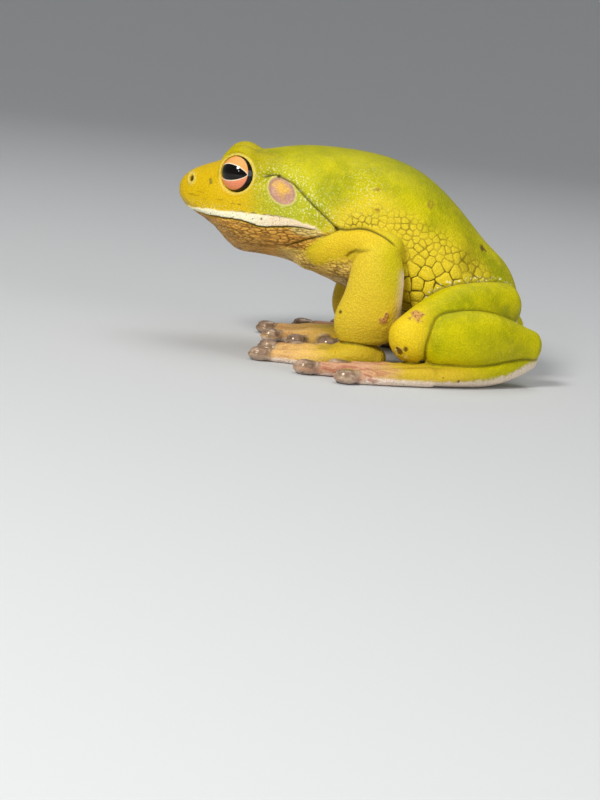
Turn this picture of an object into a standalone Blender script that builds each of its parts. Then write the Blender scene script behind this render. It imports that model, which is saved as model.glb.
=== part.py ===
"""A life-size white-lipped tree frog, crouched on a flat floor.

Metres, +Z up. The frog faces -X and its left side is towards -Y. The origin is on the floor,
under the middle of the frog's length. Each part of the body is a solid of its own. Lengths below
are written in millimetres and multiplied by MM.
"""

import math

import bmesh
import bpy
import numpy as np
from mathutils import Matrix, Vector

MM = 0.001
GAP = 0.3 * MM
SIDES = {"left": -1.0, "right": 1.0}

# How finely the lofts are divided
TRUNK_SIDES = 36
TRUNK_STEPS = 2
LIMB_SIDES = 14
LIMB_STEPS = 2
DIGIT_SIDES = 8
DIGIT_STEPS = 2
CAP_ANGLES = (30.0, 60.0)
SIDE_STEPS = 12
WEB_STEPS = 6
RIDGE_SIDES = 8
EAR_SIDES = 20
NOSTRIL_SIDES = 12

# The trunk, from the snout to the rump: distance along the body, height of the back, height of the
# belly, half width, height of the widest level, and how boxy the upper and lower halves are
TRUNK = (
    (-54.1, 43.0, 43.0, 0.0, 43.0, 2.0, 2.0),
    (-53.7, 45.0, 40.9, 2.7, 42.7, 2.0, 2.0),
    (-52.4, 47.0, 39.1, 5.2, 41.4, 2.0, 2.0),
    (-49.8, 49.0, 37.3, 7.9, 40.0, 2.0, 2.0),
    (-46.0, 50.8, 35.3, 11.0, 39.2, 2.1, 2.0),
    (-41.4, 52.8, 32.0, 13.8, 38.8, 2.2, 2.0),
    (-35.9, 55.4, 27.7, 15.9, 38.6, 2.3, 2.0),
    (-29.0, 57.1, 26.9, 17.2, 38.6, 2.4, 2.0),
    (-21.0, 58.9, 26.0, 17.7, 38.7, 2.4, 2.0),
    (-12.0, 59.6, 23.2, 18.0, 38.7, 2.4, 2.0),
    (-2.0, 59.4, 19.6, 19.2, 37.3, 2.3, 2.0),
    (8.2, 57.7, 14.2, 20.6, 33.8, 2.2, 2.1),
    (17.6, 53.5, 9.4, 21.2, 29.2, 2.1, 2.2),
    (27.0, 45.9, 6.4, 20.2, 24.2, 2.0, 2.2),
    (35.2, 37.9, 6.0, 17.0, 20.6, 2.0, 2.2),
    (41.6, 32.4, 7.4, 12.2, 18.6, 2.0, 2.1),
    (45.9, 24.8, 10.4, 6.8, 17.4, 2.0, 2.0),
    (47.3, 16.8, 16.8, 0.0, 16.8, 2.0, 2.0),
)

# Where the trunk is parted
MOUTH_LEVEL = 36.9 * MM
NECK_AT_MOUTH = -9.0 * MM
NECK_AT_NAPE = -5.0 * MM
THROAT_BACK = -19.0 * MM
ABOVE_ALL = 70.0 * MM
BELOW_THROAT = 19.0 * MM
AHEAD_OF_ALL = -70.0 * MM
HALF_SPAN = 60.0 * MM

# The eyes: the ball, its line of sight, the rim of the lids, and the swelling that carries them. The
# opening is a cone: its radius at the near and far ends, and where those lie on the line of sight
EYE_RADIUS = 5.7 * MM
EYE_CENTRE = (-36.3 * MM, 10.6 * MM, 49.5 * MM)
EYE_FORWARD = 28.0
EYE_UPWARD = 6.0
RIM_RADIUS = 5.15 * MM
RIM_THICKNESS = 0.55 * MM
RIM_AHEAD = 2.7 * MM
LID_RADII = (7.0 * MM, 6.2 * MM, 7.4 * MM)
LID_CENTRE = (-36.8 * MM, 9.6 * MM, 50.3 * MM)
LID_OPENING = (4.8 * MM, 8.4 * MM, 2.2 * MM, 7.0 * MM)

# The ear, and the fold over it, whose line gives distance along, height and half width in millimetres
EAR_CENTRE = (-24.4 * MM, 46.5 * MM)
EAR_RADII = (4.2 * MM, 3.2 * MM)
EAR_SLANT = 38.0
EAR_THICKNESS = 1.5 * MM
EAR_RING = 0.5 * MM
FOLD_FLATNESS = 0.9
FOLD_LINE = (
    (-30.6, 50.0, 0.7),
    (-27.0, 51.6, 1.0),
    (-22.2, 50.4, 1.1),
    (-17.0, 46.6, 1.2),
    (-9.6, 40.4, 0.9),
)
BROW_RIDGE = ((-49.4, 47.2, 0.8), (-46.0, 48.6, 1.3), (-42.0, 50.2, 1.8))

# The lips and the nostrils, whose pit is a cone as the eye's opening is
LIP_FRONT = -50.2 * MM
LIP_BACK = -14.0 * MM
LIP_STEPS = 4
LIP_FULL = 0.67
LIP_HALF_HEIGHTS = (0.6 * MM, 1.6 * MM)
LIP_BULGE = 0.8 * MM
LIP_RISE = 0.85
NOSTRIL = (-50.5 * MM, 46.2 * MM)
NOSTRIL_RIM = 1.0 * MM
NOSTRIL_LIP = 0.35 * MM
NOSTRIL_PIT = (0.3 * MM, 0.7 * MM, -1.6 * MM, 1.2 * MM)

# The limbs on one side, as stations of a smooth tube: distance along the body, distance out from the
# middle, height, half width and half height. The forearm is upright, and its half height runs along X
UPPER_ARM = (
    (-11.0, 12.0, 31.8, 6.0, 6.4),
    (-4.5, 15.8, 34.0, 5.4, 5.2),
    (2.0, 20.0, 35.4, 4.9, 4.4),
    (7.0, 22.8, 34.6, 4.6, 4.6),
)
FOREARM = (
    (4.9, 23.5, 33.6, 4.3, 6.0),
    (4.7, 23.8, 29.0, 4.8, 7.4),
    (4.6, 23.6, 24.0, 5.1, 7.9),
    (4.2, 23.0, 18.6, 5.2, 8.6),
    (3.7, 22.4, 13.6, 4.9, 9.4),
    (4.0, 21.8, 9.8, 4.0, 8.4),
)
THIGH = (
    (40.4, 10.0, 21.1, 6.8, 7.2),
    (33.8, 16.0, 20.8, 7.1, 7.5),
    (27.0, 21.8, 19.2, 6.8, 7.3),
    (20.6, 27.4, 15.8, 6.3, 6.8),
    (15.6, 31.4, 11.5, 5.8, 6.8),
)
SHANK = (
    (23.8, 30.6, 12.1, 6.1, 7.9),
    (31.0, 27.6, 12.6, 6.7, 8.5),
    (38.5, 23.8, 12.6, 6.1, 7.9),
    (44.6, 19.8, 12.1, 4.9, 6.3),
    (49.8, 16.8, 11.5, 4.0, 4.9),
)
PALM = (
    (6.6, 19.8, 3.4, 4.8, 3.6),
    (2.0, 20.4, 4.2, 6.0, 4.6),
    (-3.0, 21.0, 3.3, 6.0, 3.6),
    (-7.0, 21.2, 2.4, 5.4, 2.6),
)
SOLE = (
    (49.0, 16.0, 9.2, 4.0, 4.9),
    (43.4, 19.8, 6.4, 5.0, 4.9),
    (36.5, 24.6, 4.2, 6.0, 4.3),
    (28.5, 29.0, 3.2, 7.4, 3.5),
    (21.0, 32.2, 2.7, 8.0, 3.0),
    (15.0, 34.2, 2.4, 7.2, 2.6),
)

# Fingers and toes from the inner one out: the root, the middle knuckle and the pad, each as distance
# along the body and distance out from the middle
FINGERS = (
    ((4.0, 16.5), (-0.5, 11.2), (-6.2, 6.8)),
    ((0.0, 17.5), (-7.5, 11.6), (-15.8, 5.4)),
    ((-3.5, 19.6), (-12.0, 15.6), (-23.2, 10.8)),
    ((-3.5, 24.2), (-12.5, 25.6), (-25.1, 26.4)),
)
TOES = (
    ((27.0, 26.4), (23.0, 24.6), (18.8, 22.8)),
    ((23.5, 29.6), (19.0, 29.0), (14.0, 28.6)),
    ((20.0, 32.2), (9.5, 32.4), (-3.2, 32.4)),
    ((18.0, 35.0), (5.0, 37.8), (-11.9, 40.4)),
    ((22.0, 37.6), (12.0, 42.4), (-0.8, 48.0)),
)
FINGER_HALF = (2.8, 2.4, 2.0)
TOE_HALF = (2.7, 2.4, 2.1)
FINGER_PAD = (3.3, 2.9, 1.9)
TOE_PAD = (3.6, 3.2, 2.0)
PAD_SIDES = 12
PAD_RINGS = 5
WEB_LEVELS = (0.4 * MM, 1.3 * MM)
FINGER_WEB_REACH = 0.45
TOE_WEB_REACH = 0.8
WEB_HOLLOW = 0.3
PAD_SINK = 0.2
PAD_OVERLAP = 0.6

# How far the round ends of the limbs reach, as a share of their thickness there
ROUND = 0.9
SHANK_END = 0.8
FOREARM_END = 0.45

# The way a tube's half height runs: up, or along the body where the limb is upright
UPRIGHT = (0.0, 0.0, 1.0)
AHEAD = (1.0, 0.0, 0.0)

# How far each elbow and each leg is drawn forward, in millimetres
ELBOW_FORWARD = {"left": 0.0, "right": 4.0}
LEG_FORWARD = {"left": 0.0, "right": 2.5}

# Colour and roughness of each kind of node
COLOURS = {
    "head": ((0.42, 0.46, 0.03), 0.45),
    "lower_jaw": ((0.45, 0.27, 0.08), 0.5),
    "torso": ((0.34, 0.46, 0.02), 0.45),
    "eye": ((0.75, 0.36, 0.1), 0.1),
    "tympanum": ((0.5, 0.27, 0.18), 0.4),
    "upper_arm": ((0.5, 0.42, 0.04), 0.45),
    "forearm": ((0.46, 0.4, 0.03), 0.45),
    "hand": ((0.5, 0.4, 0.1), 0.4),
    "thigh": ((0.36, 0.46, 0.02), 0.45),
    "shank": ((0.36, 0.46, 0.02), 0.45),
    "foot": ((0.52, 0.38, 0.2), 0.4),
}
SHARP_ANGLE = 45.0


def steps_between(rows, per_gap):
    """Rows of values, joined by a natural cubic spline with per_gap steps from each to the next."""
    rows = np.array(rows, float)
    last = len(rows) - 1
    system = np.eye(last + 1)
    wanted = np.zeros_like(rows)
    for i in range(1, last):
        system[i, i - 1 : i + 2] = (1.0, 4.0, 1.0)
        wanted[i] = 6.0 * (rows[i + 1] - 2.0 * rows[i] + rows[i - 1])
    bend = np.linalg.solve(system, wanted)
    at = np.linspace(0.0, last, last * per_gap + 1)
    low = np.minimum(at.astype(int), last - 1)
    b = (at - low)[:, None]
    a = 1.0 - b
    curve = ((a**3 - a) * bend[low] + (b**3 - b) * bend[low + 1]) / 6.0
    return a * rows[low] + b * rows[low + 1] + curve


def power(value, exponent):
    """A signed power, for superellipses."""
    return np.sign(value) * np.abs(value) ** exponent


def loft(name, rings, first_pole, last_pole):
    """A closed mesh through rings of points, ending in a pole at each end."""
    mesh = bpy.data.meshes.new(name)
    body = bmesh.new()
    rows = [[body.verts.new(point) for point in ring] for ring in rings]
    poles = (body.verts.new(first_pole), body.verts.new(last_pole))
    count = len(rings[0])
    for low, high in zip(rows, rows[1:]):
        for i in range(count):
            j = (i + 1) % count
            body.faces.new((low[i], low[j], high[j], high[i]))
    for pole, row in zip(poles, (rows[0], rows[-1])):
        for i in range(count):
            body.faces.new((pole, row[i], row[(i + 1) % count]))
    bmesh.ops.recalc_face_normals(body, faces=body.faces)
    body.to_mesh(mesh)
    body.free()
    made = bpy.data.objects.new(name, mesh)
    bpy.context.scene.collection.objects.link(made)
    return made


def trunk_rows(per_gap):
    """The trunk's sections in metres, the two shape columns left as they are."""
    rows = steps_between(TRUNK, per_gap)
    rows[:, :5] *= MM
    return rows


def trunk(name):
    """Head, throat and torso as one smooth loft of upright sections."""
    rows = trunk_rows(TRUNK_STEPS)
    angles = np.linspace(0.0, 2.0 * math.pi, TRUNK_SIDES, endpoint=False)
    rings = []
    for x, top, bottom, half_width, level, upper, lower in rows[1:-1]:
        shape = np.where(np.sin(angles) > 0.0, upper, lower)
        height = np.where(np.sin(angles) > 0.0, top - level, level - bottom)
        y = half_width * power(np.cos(angles), 2.0 / shape)
        z = level + height * power(np.sin(angles), 2.0 / shape)
        rings.append(np.stack([np.full_like(y, x), y, z], axis=1))
    ends = [(row[0], 0.0, row[4]) for row in (rows[0], rows[-1])]
    return loft(name, rings, *ends)


def flank(x, z):
    """How far the trunk's side stands out at this distance along and height."""
    rows = trunk_rows(SIDE_STEPS)
    row = [np.interp(x, rows[:, 0], rows[:, column]) for column in range(7)]
    _, top, bottom, half_width, level, upper, lower = row
    shape, height = (upper, top - level) if z > level else (lower, level - bottom)
    share = min(abs(z - level) / height, 1.0)
    return half_width * (1.0 - share**shape) ** (1.0 / shape)


def on_flank(side, x, z):
    return Vector((x, side * flank(x, z), z))


def flank_normal(side, x, z):
    """The way the trunk's skin faces there."""
    step = 0.5 * MM
    along = on_flank(side, x + step, z) - on_flank(side, x - step, z)
    upward = on_flank(side, x, z + step) - on_flank(side, x, z - step)
    normal = along.cross(upward).normalized()
    return normal if normal.y * side > 0.0 else -normal


def tube(
    name, stations, height_axis, side=1.0, extra=0.0, sides=LIMB_SIDES, per_gap=LIMB_STEPS, blunt=ROUND
):
    """A limb through stations of (x, y, z, half width, half height) in millimetres, with round ends."""
    rows = steps_between(stations, per_gap) * MM
    path = rows[:, :3] * (1.0, side, 1.0)
    widths, heights = rows[:, 3] + extra, rows[:, 4] + extra
    tangents = np.gradient(path, axis=0)
    tangents /= np.linalg.norm(tangents, axis=1)[:, None]
    angles = np.linspace(0.0, 2.0 * math.pi, sides, endpoint=False)

    def ring(centre, tangent, half_width, half_height):
        up = np.array(height_axis, float)
        up -= tangent * (up @ tangent)
        up /= np.linalg.norm(up)
        across = np.cross(tangent, up)
        around = np.outer(np.cos(angles) * half_width, across)
        return centre + around + np.outer(np.sin(angles) * half_height, up)

    def cap(index, way):
        reach = blunt * (widths[index] + heights[index]) / 2.0
        made = []
        for angle in CAP_ANGLES:
            turn = math.radians(angle)
            centre = path[index] + way * tangents[index] * reach * math.sin(turn)
            shrink = math.cos(turn)
            made.append(ring(centre, tangents[index], widths[index] * shrink, heights[index] * shrink))
        return made, path[index] + way * tangents[index] * reach

    first, first_pole = cap(0, -1.0)
    last, last_pole = cap(-1, 1.0)
    middle = [ring(*row) for row in zip(path, tangents, widths, heights)]
    return loft(name, first[::-1] + middle + last, first_pole, last_pole)


def linked(name, body, matrix=None):
    """The object made from a finished bmesh."""
    if matrix is not None:
        bmesh.ops.transform(body, matrix=matrix, verts=body.verts)
    mesh = bpy.data.meshes.new(name)
    body.to_mesh(mesh)
    body.free()
    made = bpy.data.objects.new(name, mesh)
    bpy.context.scene.collection.objects.link(made)
    return made


def ellipsoid(name, matrix, radii, segments=18, rings=10):
    ball = bmesh.new()
    bmesh.ops.create_uvsphere(ball, u_segments=segments, v_segments=rings, radius=1.0)
    bmesh.ops.scale(ball, vec=radii, verts=ball.verts)
    return linked(name, ball, matrix)


def cone(name, matrix, base_radius, top_radius, low, high, segments=20):
    """A cone along its own +Z from low to high, then placed by matrix."""
    solid = bmesh.new()
    bmesh.ops.create_cone(
        solid, cap_ends=True, segments=segments, radius1=base_radius, radius2=top_radius, depth=high - low
    )
    bmesh.ops.translate(solid, vec=(0.0, 0.0, (low + high) / 2.0), verts=solid.verts)
    return linked(name, solid, matrix)


def ring_round(name, matrix, radii, thickness, segments=18, sides=6):
    """A closed ring of round section, lying flat in its own XY plane before it is placed."""
    body = bmesh.new()
    rows = []
    for i in range(segments):
        turn = 2.0 * math.pi * i / segments
        row = []
        for j in range(sides):
            around = 2.0 * math.pi * j / sides
            out = thickness * math.cos(around)
            x, y = (radii[0] + out) * math.cos(turn), (radii[1] + out) * math.sin(turn)
            row.append(body.verts.new((x, y, thickness * math.sin(around))))
        rows.append(row)
    for i, row in enumerate(rows):
        after = rows[(i + 1) % segments]
        for j in range(sides):
            k = (j + 1) % sides
            body.faces.new((row[j], row[k], after[k], after[j]))
    bmesh.ops.recalc_face_normals(body, faces=body.faces)
    return linked(name, body, matrix)


def slab(name, outline, low, high, axis="Y"):
    """A flat outline extruded from low to high: an (x, z) outline along Y, or an (x, y) one along Z."""
    along = Vector((0.0, high - low, 0.0)) if axis == "Y" else Vector((0.0, 0.0, high - low))
    solid = bmesh.new()
    corners = [(a, low, b) if axis == "Y" else (a, b, low) for a, b in outline]
    face = solid.faces.new([solid.verts.new(corner) for corner in corners])
    made = bmesh.ops.extrude_face_region(solid, geom=[face])
    moved = [item for item in made["geom"] if isinstance(item, bmesh.types.BMVert)]
    bmesh.ops.translate(solid, vec=along, verts=moved)
    bmesh.ops.recalc_face_normals(solid, faces=solid.faces)
    return linked(name, solid)


def grown(obj, amount=GAP):
    """A copy with its skin moved out, to cut a neighbour clear of it."""
    body = bmesh.new()
    body.from_mesh(obj.data)
    body.normal_update()
    for vertex in body.verts:
        vertex.co += vertex.normal * amount
    return linked(obj.name + "_grown", body)


def settle(obj):
    """Applies the modifiers."""
    graph = bpy.context.evaluated_depsgraph_get()
    obj.data = bpy.data.meshes.new_from_object(obj.evaluated_get(graph))
    obj.modifiers.clear()


def boolean(obj, others, operation):
    """One Boolean with a collection of closed meshes, applied, and those meshes removed."""
    group = bpy.data.collections.new("pieces")
    for other in others:
        group.objects.link(other)
    modifier = obj.modifiers.new(operation.lower(), "BOOLEAN")
    modifier.operation = operation
    modifier.solver = "EXACT"
    modifier.operand_type = "COLLECTION"
    modifier.collection = group
    settle(obj)
    for other in others:
        bpy.data.objects.remove(other)
    bpy.data.collections.remove(group)
    return keep_largest(obj)


def shells_of(body):
    """The faces of each separate closed surface."""
    left = set(body.faces)
    while left:
        shell, waiting = set(), [next(iter(left))]
        while waiting:
            face = waiting.pop()
            if face in shell:
                continue
            shell.add(face)
            for edge in face.edges:
                waiting.extend(near for near in edge.link_faces if near not in shell)
        left -= shell
        yield shell


def volume_of(faces):
    total = 0.0
    for face in faces:
        corners = [vertex.co for vertex in face.verts]
        for second, third in zip(corners[1:], corners[2:]):
            total += corners[0].dot(second.cross(third)) / 6.0
    return total


def keep_largest(obj):
    """Leaves only the largest closed surface of a node."""
    body = bmesh.new()
    body.from_mesh(obj.data)
    shells = list(shells_of(body))
    largest = max(shells, key=volume_of)
    spare = [face for shell in shells if shell is not largest for face in shell]
    bmesh.ops.delete(body, geom=spare, context="FACES")
    body.to_mesh(obj.data)
    body.free()
    return obj


def eye_frame(side):
    """Places a shape made along +Z on the eye's own line of sight, with its origin at the ball's centre."""
    forward, upward = math.radians(EYE_FORWARD), math.radians(EYE_UPWARD)
    look = Vector((-math.sin(forward), side * math.cos(forward), math.tan(upward))).normalized()
    x, y, z = EYE_CENTRE
    return Matrix.Translation((x, side * y, z)) @ look.to_track_quat("Z", "Y").to_matrix().to_4x4()


def surface_frame(side, x, z, slant=0.0):
    """Places a shape made flat in its own XY plane on the trunk's skin."""
    turn = flank_normal(side, x, z).to_track_quat("Z", "Y").to_matrix().to_4x4()
    return Matrix.Translation(on_flank(side, x, z)) @ turn @ Matrix.Rotation(math.radians(slant), 4, "Z")


def skin_ridge(name, side, line):
    """A tapered fold lying along the trunk's skin, half sunk."""
    stations = []
    for x, z, half in line:
        point = on_flank(1.0, x * MM, z * MM) / MM
        stations.append((point.x, point.y, point.z, half * FOLD_FLATNESS, half))
    return tube(name, stations, UPRIGHT, side, sides=RIDGE_SIDES)


def lips():
    """The white band along the upper jaw, from one corner of the mouth round the snout to the other."""
    stations = []
    for i in range(-LIP_STEPS, LIP_STEPS + 1):
        share = abs(i) / LIP_STEPS
        half = np.interp(share, (0.0, LIP_FULL), LIP_HALF_HEIGHTS)
        z = MOUTH_LEVEL + half * LIP_RISE
        x = LIP_FRONT + (LIP_BACK - LIP_FRONT) * share**2
        y = math.copysign(flank(x, z), i) if i else 0.0
        stations.append((x / MM, y / MM, z / MM, LIP_BULGE / MM, half / MM))
    return tube("lips", stations, UPRIGHT, sides=RIDGE_SIDES)


def ear_disc(name, side, extra=0.0):
    """The eardrum as a shallow domed disc."""
    radii = (EAR_RADII[0] + extra, EAR_RADII[1] + extra, EAR_THICKNESS + extra)
    return ellipsoid(name, surface_frame(side, *EAR_CENTRE, -side * EAR_SLANT), radii, segments=18, rings=8)


def eyeball(name, side, extra=0.0):
    radius = EYE_RADIUS + extra
    return ellipsoid(name, eye_frame(side), (radius, radius, radius))


def face_details():
    """What stands out on the head and what is cut into it, for both sides."""
    added, cutters = [lips()], []
    for label, side in SIDES.items():
        x, y, z = LID_CENTRE
        sight = eye_frame(side)
        nostril = surface_frame(side, *NOSTRIL)
        added.append(ellipsoid(f"lid_{label}", Matrix.Translation((x, side * y, z)), LID_RADII))
        rim = sight @ Matrix.Translation((0.0, 0.0, RIM_AHEAD))
        added.append(ring_round(f"rim_{label}", rim, (RIM_RADIUS, RIM_RADIUS), RIM_THICKNESS))
        added.append(skin_ridge(f"fold_{label}", side, FOLD_LINE))
        added.append(skin_ridge(f"brow_{label}", side, BROW_RIDGE))
        ear = surface_frame(side, *EAR_CENTRE, -side * EAR_SLANT)
        edge = (EAR_RADII[0] + EAR_RING, EAR_RADII[1] + EAR_RING)
        added.append(ring_round(f"ear_ring_{label}", ear, edge, EAR_RING, EAR_SIDES))
        nostril_rim = (NOSTRIL_RIM, NOSTRIL_RIM)
        added.append(ring_round(f"nostril_rim_{label}", nostril, nostril_rim, NOSTRIL_LIP, NOSTRIL_SIDES))
        cutters.append(eyeball(f"socket_{label}", side, GAP))
        cutters.append(cone(f"opening_{label}", sight, *LID_OPENING))
        cutters.append(ear_disc(f"ear_seat_{label}", side, GAP))
        cutters.append(cone(f"nostril_{label}", nostril, *NOSTRIL_PIT, segments=NOSTRIL_SIDES))
    return added, cutters


def part_the_trunk():
    """The trunk as three nodes: head, lower jaw and torso, parted by thin cuts."""
    half = GAP / 2.0

    def neck(shift, level):
        """The nape, the corner of the mouth and the throat, down the cut that frees the torso."""
        nape, corner = (NECK_AT_NAPE + shift, ABOVE_ALL), (NECK_AT_MOUTH + shift, level)
        return nape, corner, (THROAT_BACK + shift, BELOW_THROAT)

    def ahead_of(name, corners):
        """All that lies ahead of a line of corners."""
        outline = [(AHEAD_OF_ALL, corners[0][1]), *corners, (AHEAD_OF_ALL, corners[-1][1])]
        return slab(name, outline, -HALF_SPAN, HALF_SPAN)

    torso = boolean(trunk("torso"), [ahead_of("front", neck(half, MOUTH_LEVEL))], "DIFFERENCE")
    under_mouth = ahead_of("under_mouth", neck(-half, MOUTH_LEVEL - half)[1:])
    jaw = boolean(trunk("lower_jaw"), [under_mouth], "INTERSECT")
    added, cutters = face_details()
    head = boolean(trunk("head"), added, "UNION")
    over_mouth = ahead_of("over_mouth", neck(-half, MOUTH_LEVEL + half)[:2])
    boolean(head, [over_mouth], "INTERSECT")
    boolean(head, cutters, "DIFFERENCE")
    eyes = [eyeball(f"eye_{label}", side) for label, side in SIDES.items()]
    ears = [ear_disc(f"tympanum_{label}", side) for label, side in SIDES.items()]
    return [head, jaw, torso, *eyes, *ears]


def digit(name, side, line, halves, pad):
    """A finger or toe lying on the floor, with its round pad."""
    (x0, y0), (x1, y1), (x2, y2) = line
    root, knuckle, tip = halves
    way = Vector((x2 - x1, side * (y2 - y1), 0.0)).normalized()
    short = pad[0] * PAD_OVERLAP
    end = (x2 - way.x * short, y2 - side * way.y * short)
    stations = ((x0, y0, root, root, root), (x1, y1, knuckle, knuckle, knuckle), (*end, tip, tip, tip))
    rod = tube(name, stations, UPRIGHT, side, sides=DIGIT_SIDES, per_gap=DIGIT_STEPS)
    place = Matrix.Translation(Vector((x2, side * y2, pad[2] - PAD_SINK)) * MM)
    turn = Matrix.Rotation(math.atan2(way.y, way.x), 4, "Z")
    disc = ellipsoid(f"{name}_pad", place @ turn, [radius * MM for radius in pad], PAD_SIDES, PAD_RINGS)
    return [rod, disc]


def web(name, side, first, second, reach):
    """The skin between two digits, with a hollow outer edge."""
    (a, b), roots = [steps_between(line, WEB_STEPS) for line in (first, second)], (first[0], second[0])
    count = max(1, round(reach * (len(a) - 1)))
    edge = (a[count] + b[count]) / 2.0
    middle = (np.array(roots[0]) + np.array(roots[1])) / 2.0
    hollow = edge + (middle - edge) * WEB_HOLLOW
    outline = [*a[: count + 1], hollow, *b[: count + 1][::-1]]
    points = [(x * MM, side * y * MM) for x, y in outline]
    return slab(name, points, *WEB_LEVELS, axis="Z")


def extremity(name, side, sole, digits, halves, pad, reach):
    """A hand or foot: the sole, its digits and the webs between them, as one body."""
    made = tube(name, sole, UPRIGHT, side)
    pieces = []
    for i, line in enumerate(digits):
        pieces += digit(f"{name}_digit_{i}", side, line, halves, pad)
    for i, (first, second) in enumerate(zip(digits, digits[1:])):
        pieces.append(web(f"{name}_web_{i}", side, first, second, reach))
    return boolean(made, pieces, "UNION")


def under_floor():
    """The space under the floor, wider than the frog."""
    reach = 2.0 * HALF_SPAN
    corners = [(-reach, -reach), (reach, -reach), (reach, reach), (-reach, reach)]
    return slab("under_floor", corners, -HALF_SPAN, 0.0, axis="Z")


def moved(stations, first, last=None):
    """Stations shifted towards the head, by an amount that may change from the first to the last."""
    shifts = np.linspace(first, first if last is None else last, len(stations))
    return [(x - shift, *rest) for shift, (x, *rest) in zip(shifts, stations)]


def limbs(label, side):
    """One arm and one leg, each piece cut clear of what it grows from."""
    elbow, leg = ELBOW_FORWARD[label], LEG_FORWARD[label]
    shapes = {
        "upper_arm": (moved(UPPER_ARM, 0.0, elbow), UPRIGHT, ROUND),
        "forearm": (moved(FOREARM, elbow, 0.0), AHEAD, FOREARM_END),
        "thigh": (moved(THIGH, leg), UPRIGHT, ROUND),
        "shank": (moved(SHANK, leg), UPRIGHT, SHANK_END),
    }

    def limb(kind, name, extra=0.0):
        stations, axis, blunt = shapes[kind]
        return tube(name, stations, axis, side, extra, blunt=blunt)

    def cleared(made, *kinds, floor=False):
        cutters = [grown(trunk("body"))]
        cutters += [limb(kind, f"{kind}_cutter", GAP) for kind in kinds]
        if floor:
            cutters.append(under_floor())
        return boolean(made, cutters, "DIFFERENCE")

    hand = extremity(f"hand_{label}", side, PALM, FINGERS, FINGER_HALF, FINGER_PAD, FINGER_WEB_REACH)
    toes = [moved(line, leg) for line in TOES]
    foot = extremity(f"foot_{label}", side, moved(SOLE, leg), toes, TOE_HALF, TOE_PAD, TOE_WEB_REACH)
    return [
        cleared(limb("upper_arm", f"upper_arm_{label}")),
        cleared(limb("forearm", f"forearm_{label}"), "upper_arm"),
        cleared(hand, "forearm", floor=True),
        cleared(limb("thigh", f"thigh_{label}")),
        cleared(limb("shank", f"shank_{label}"), "thigh"),
        cleared(foot, "shank", "thigh", floor=True),
    ]


def material(name, colour, roughness):
    made = bpy.data.materials.new(name)
    made.use_nodes = True
    shader = made.node_tree.nodes["Principled BSDF"]
    shader.inputs["Base Color"].default_value = (*colour, 1.0)
    shader.inputs["Roughness"].default_value = roughness
    shader.inputs["Metallic"].default_value = 0.0
    made.diffuse_color = (*colour, 1.0)
    return made


def finish(nodes):
    """Puts the nodes in their collection, shaded smooth, each with its own material."""
    home = bpy.data.collections.new("white_lipped_tree_frog")
    bpy.context.scene.collection.children.link(home)
    for node in nodes:
        bpy.context.scene.collection.objects.unlink(node)
        home.objects.link(node)
        kind = next(kind for kind in COLOURS if node.name.startswith(kind))
        node.data.materials.clear()
        node.data.materials.append(material(node.name, *COLOURS[kind]))
        node.data.shade_smooth()
        node.data.set_sharp_from_angle(angle=math.radians(SHARP_ANGLE))


for old in list(bpy.data.objects):
    bpy.data.objects.remove(old)
NODES = part_the_trunk()
for LABEL, SIDE in SIDES.items():
    NODES += limbs(LABEL, SIDE)
for spare in [obj for obj in bpy.data.objects if obj not in NODES]:
    bpy.data.objects.remove(spare)
finish(NODES)
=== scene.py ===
"""The white-lipped tree frog as it looks: one fine skin over the solids, two wet eyes, a pale studio.

The frog faces -X with its left side towards -Y, in metres, +Z up, as in the frame. Lengths in the tables
are millimetres and are multiplied by MM.
"""

import math

import bmesh
import bpy
import numpy as np
from mathutils import Matrix, Vector
from mathutils.kdtree import KDTree


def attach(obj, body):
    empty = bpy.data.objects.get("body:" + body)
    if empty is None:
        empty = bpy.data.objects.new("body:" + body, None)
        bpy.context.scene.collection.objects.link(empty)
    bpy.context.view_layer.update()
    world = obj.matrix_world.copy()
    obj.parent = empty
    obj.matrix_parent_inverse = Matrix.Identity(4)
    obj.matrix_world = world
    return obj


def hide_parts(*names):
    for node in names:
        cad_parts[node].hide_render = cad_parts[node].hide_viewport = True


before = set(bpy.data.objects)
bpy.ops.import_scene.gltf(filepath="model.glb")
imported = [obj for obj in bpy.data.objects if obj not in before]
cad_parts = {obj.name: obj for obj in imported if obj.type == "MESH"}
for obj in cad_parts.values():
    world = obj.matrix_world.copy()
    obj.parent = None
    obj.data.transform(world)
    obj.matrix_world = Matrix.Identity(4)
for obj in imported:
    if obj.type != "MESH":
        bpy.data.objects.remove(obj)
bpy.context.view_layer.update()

MM = 0.001
UP = np.array((0.0, 0.0, 1.0))
AHEAD = np.array((1.0, 0.0, 0.0))
SIDES = (-1.0, 1.0)
VOXEL = 0.28
SEED = 7

# The noise: how many random values it has, a power of two, and the primes that scatter them in space
NOISE_SIZE = 4096
NOISE_PRIMES = (73856093, 19349663, 83492791)

# Points where a weight is lower than this are left alone
WEIGHT_CUT = 0.02

# Steps from each point of a line to the next, and the rings that round off a limb's end, in degrees
LINE_STEPS = 8
CAP_TURNS = (15.0, 30.0, 45.0, 60.0, 75.0)

# The camera: the photograph is 800 pixels high, and a pixel is PIXEL millimetres at the frog's near side
PIXEL = 0.282
FRAME_HEIGHT = 800.0
ELEVATION = 10.0
ROLL = 7.0
DISTANCE = 0.62
AIM = (-0.0123, -0.020, -0.0109)
SENSOR = 36.0

# The studio's floor and wall, in metres
BOWL_FLAT = 1.0
BOWL_BEND = 1.2
BOWL_HEIGHT = 3.2
BOWL_SIDES = 96
BOWL_STEPS = 17
FLOOR_GREY = [0.55, 0.56, 0.57, 1.0]

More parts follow.
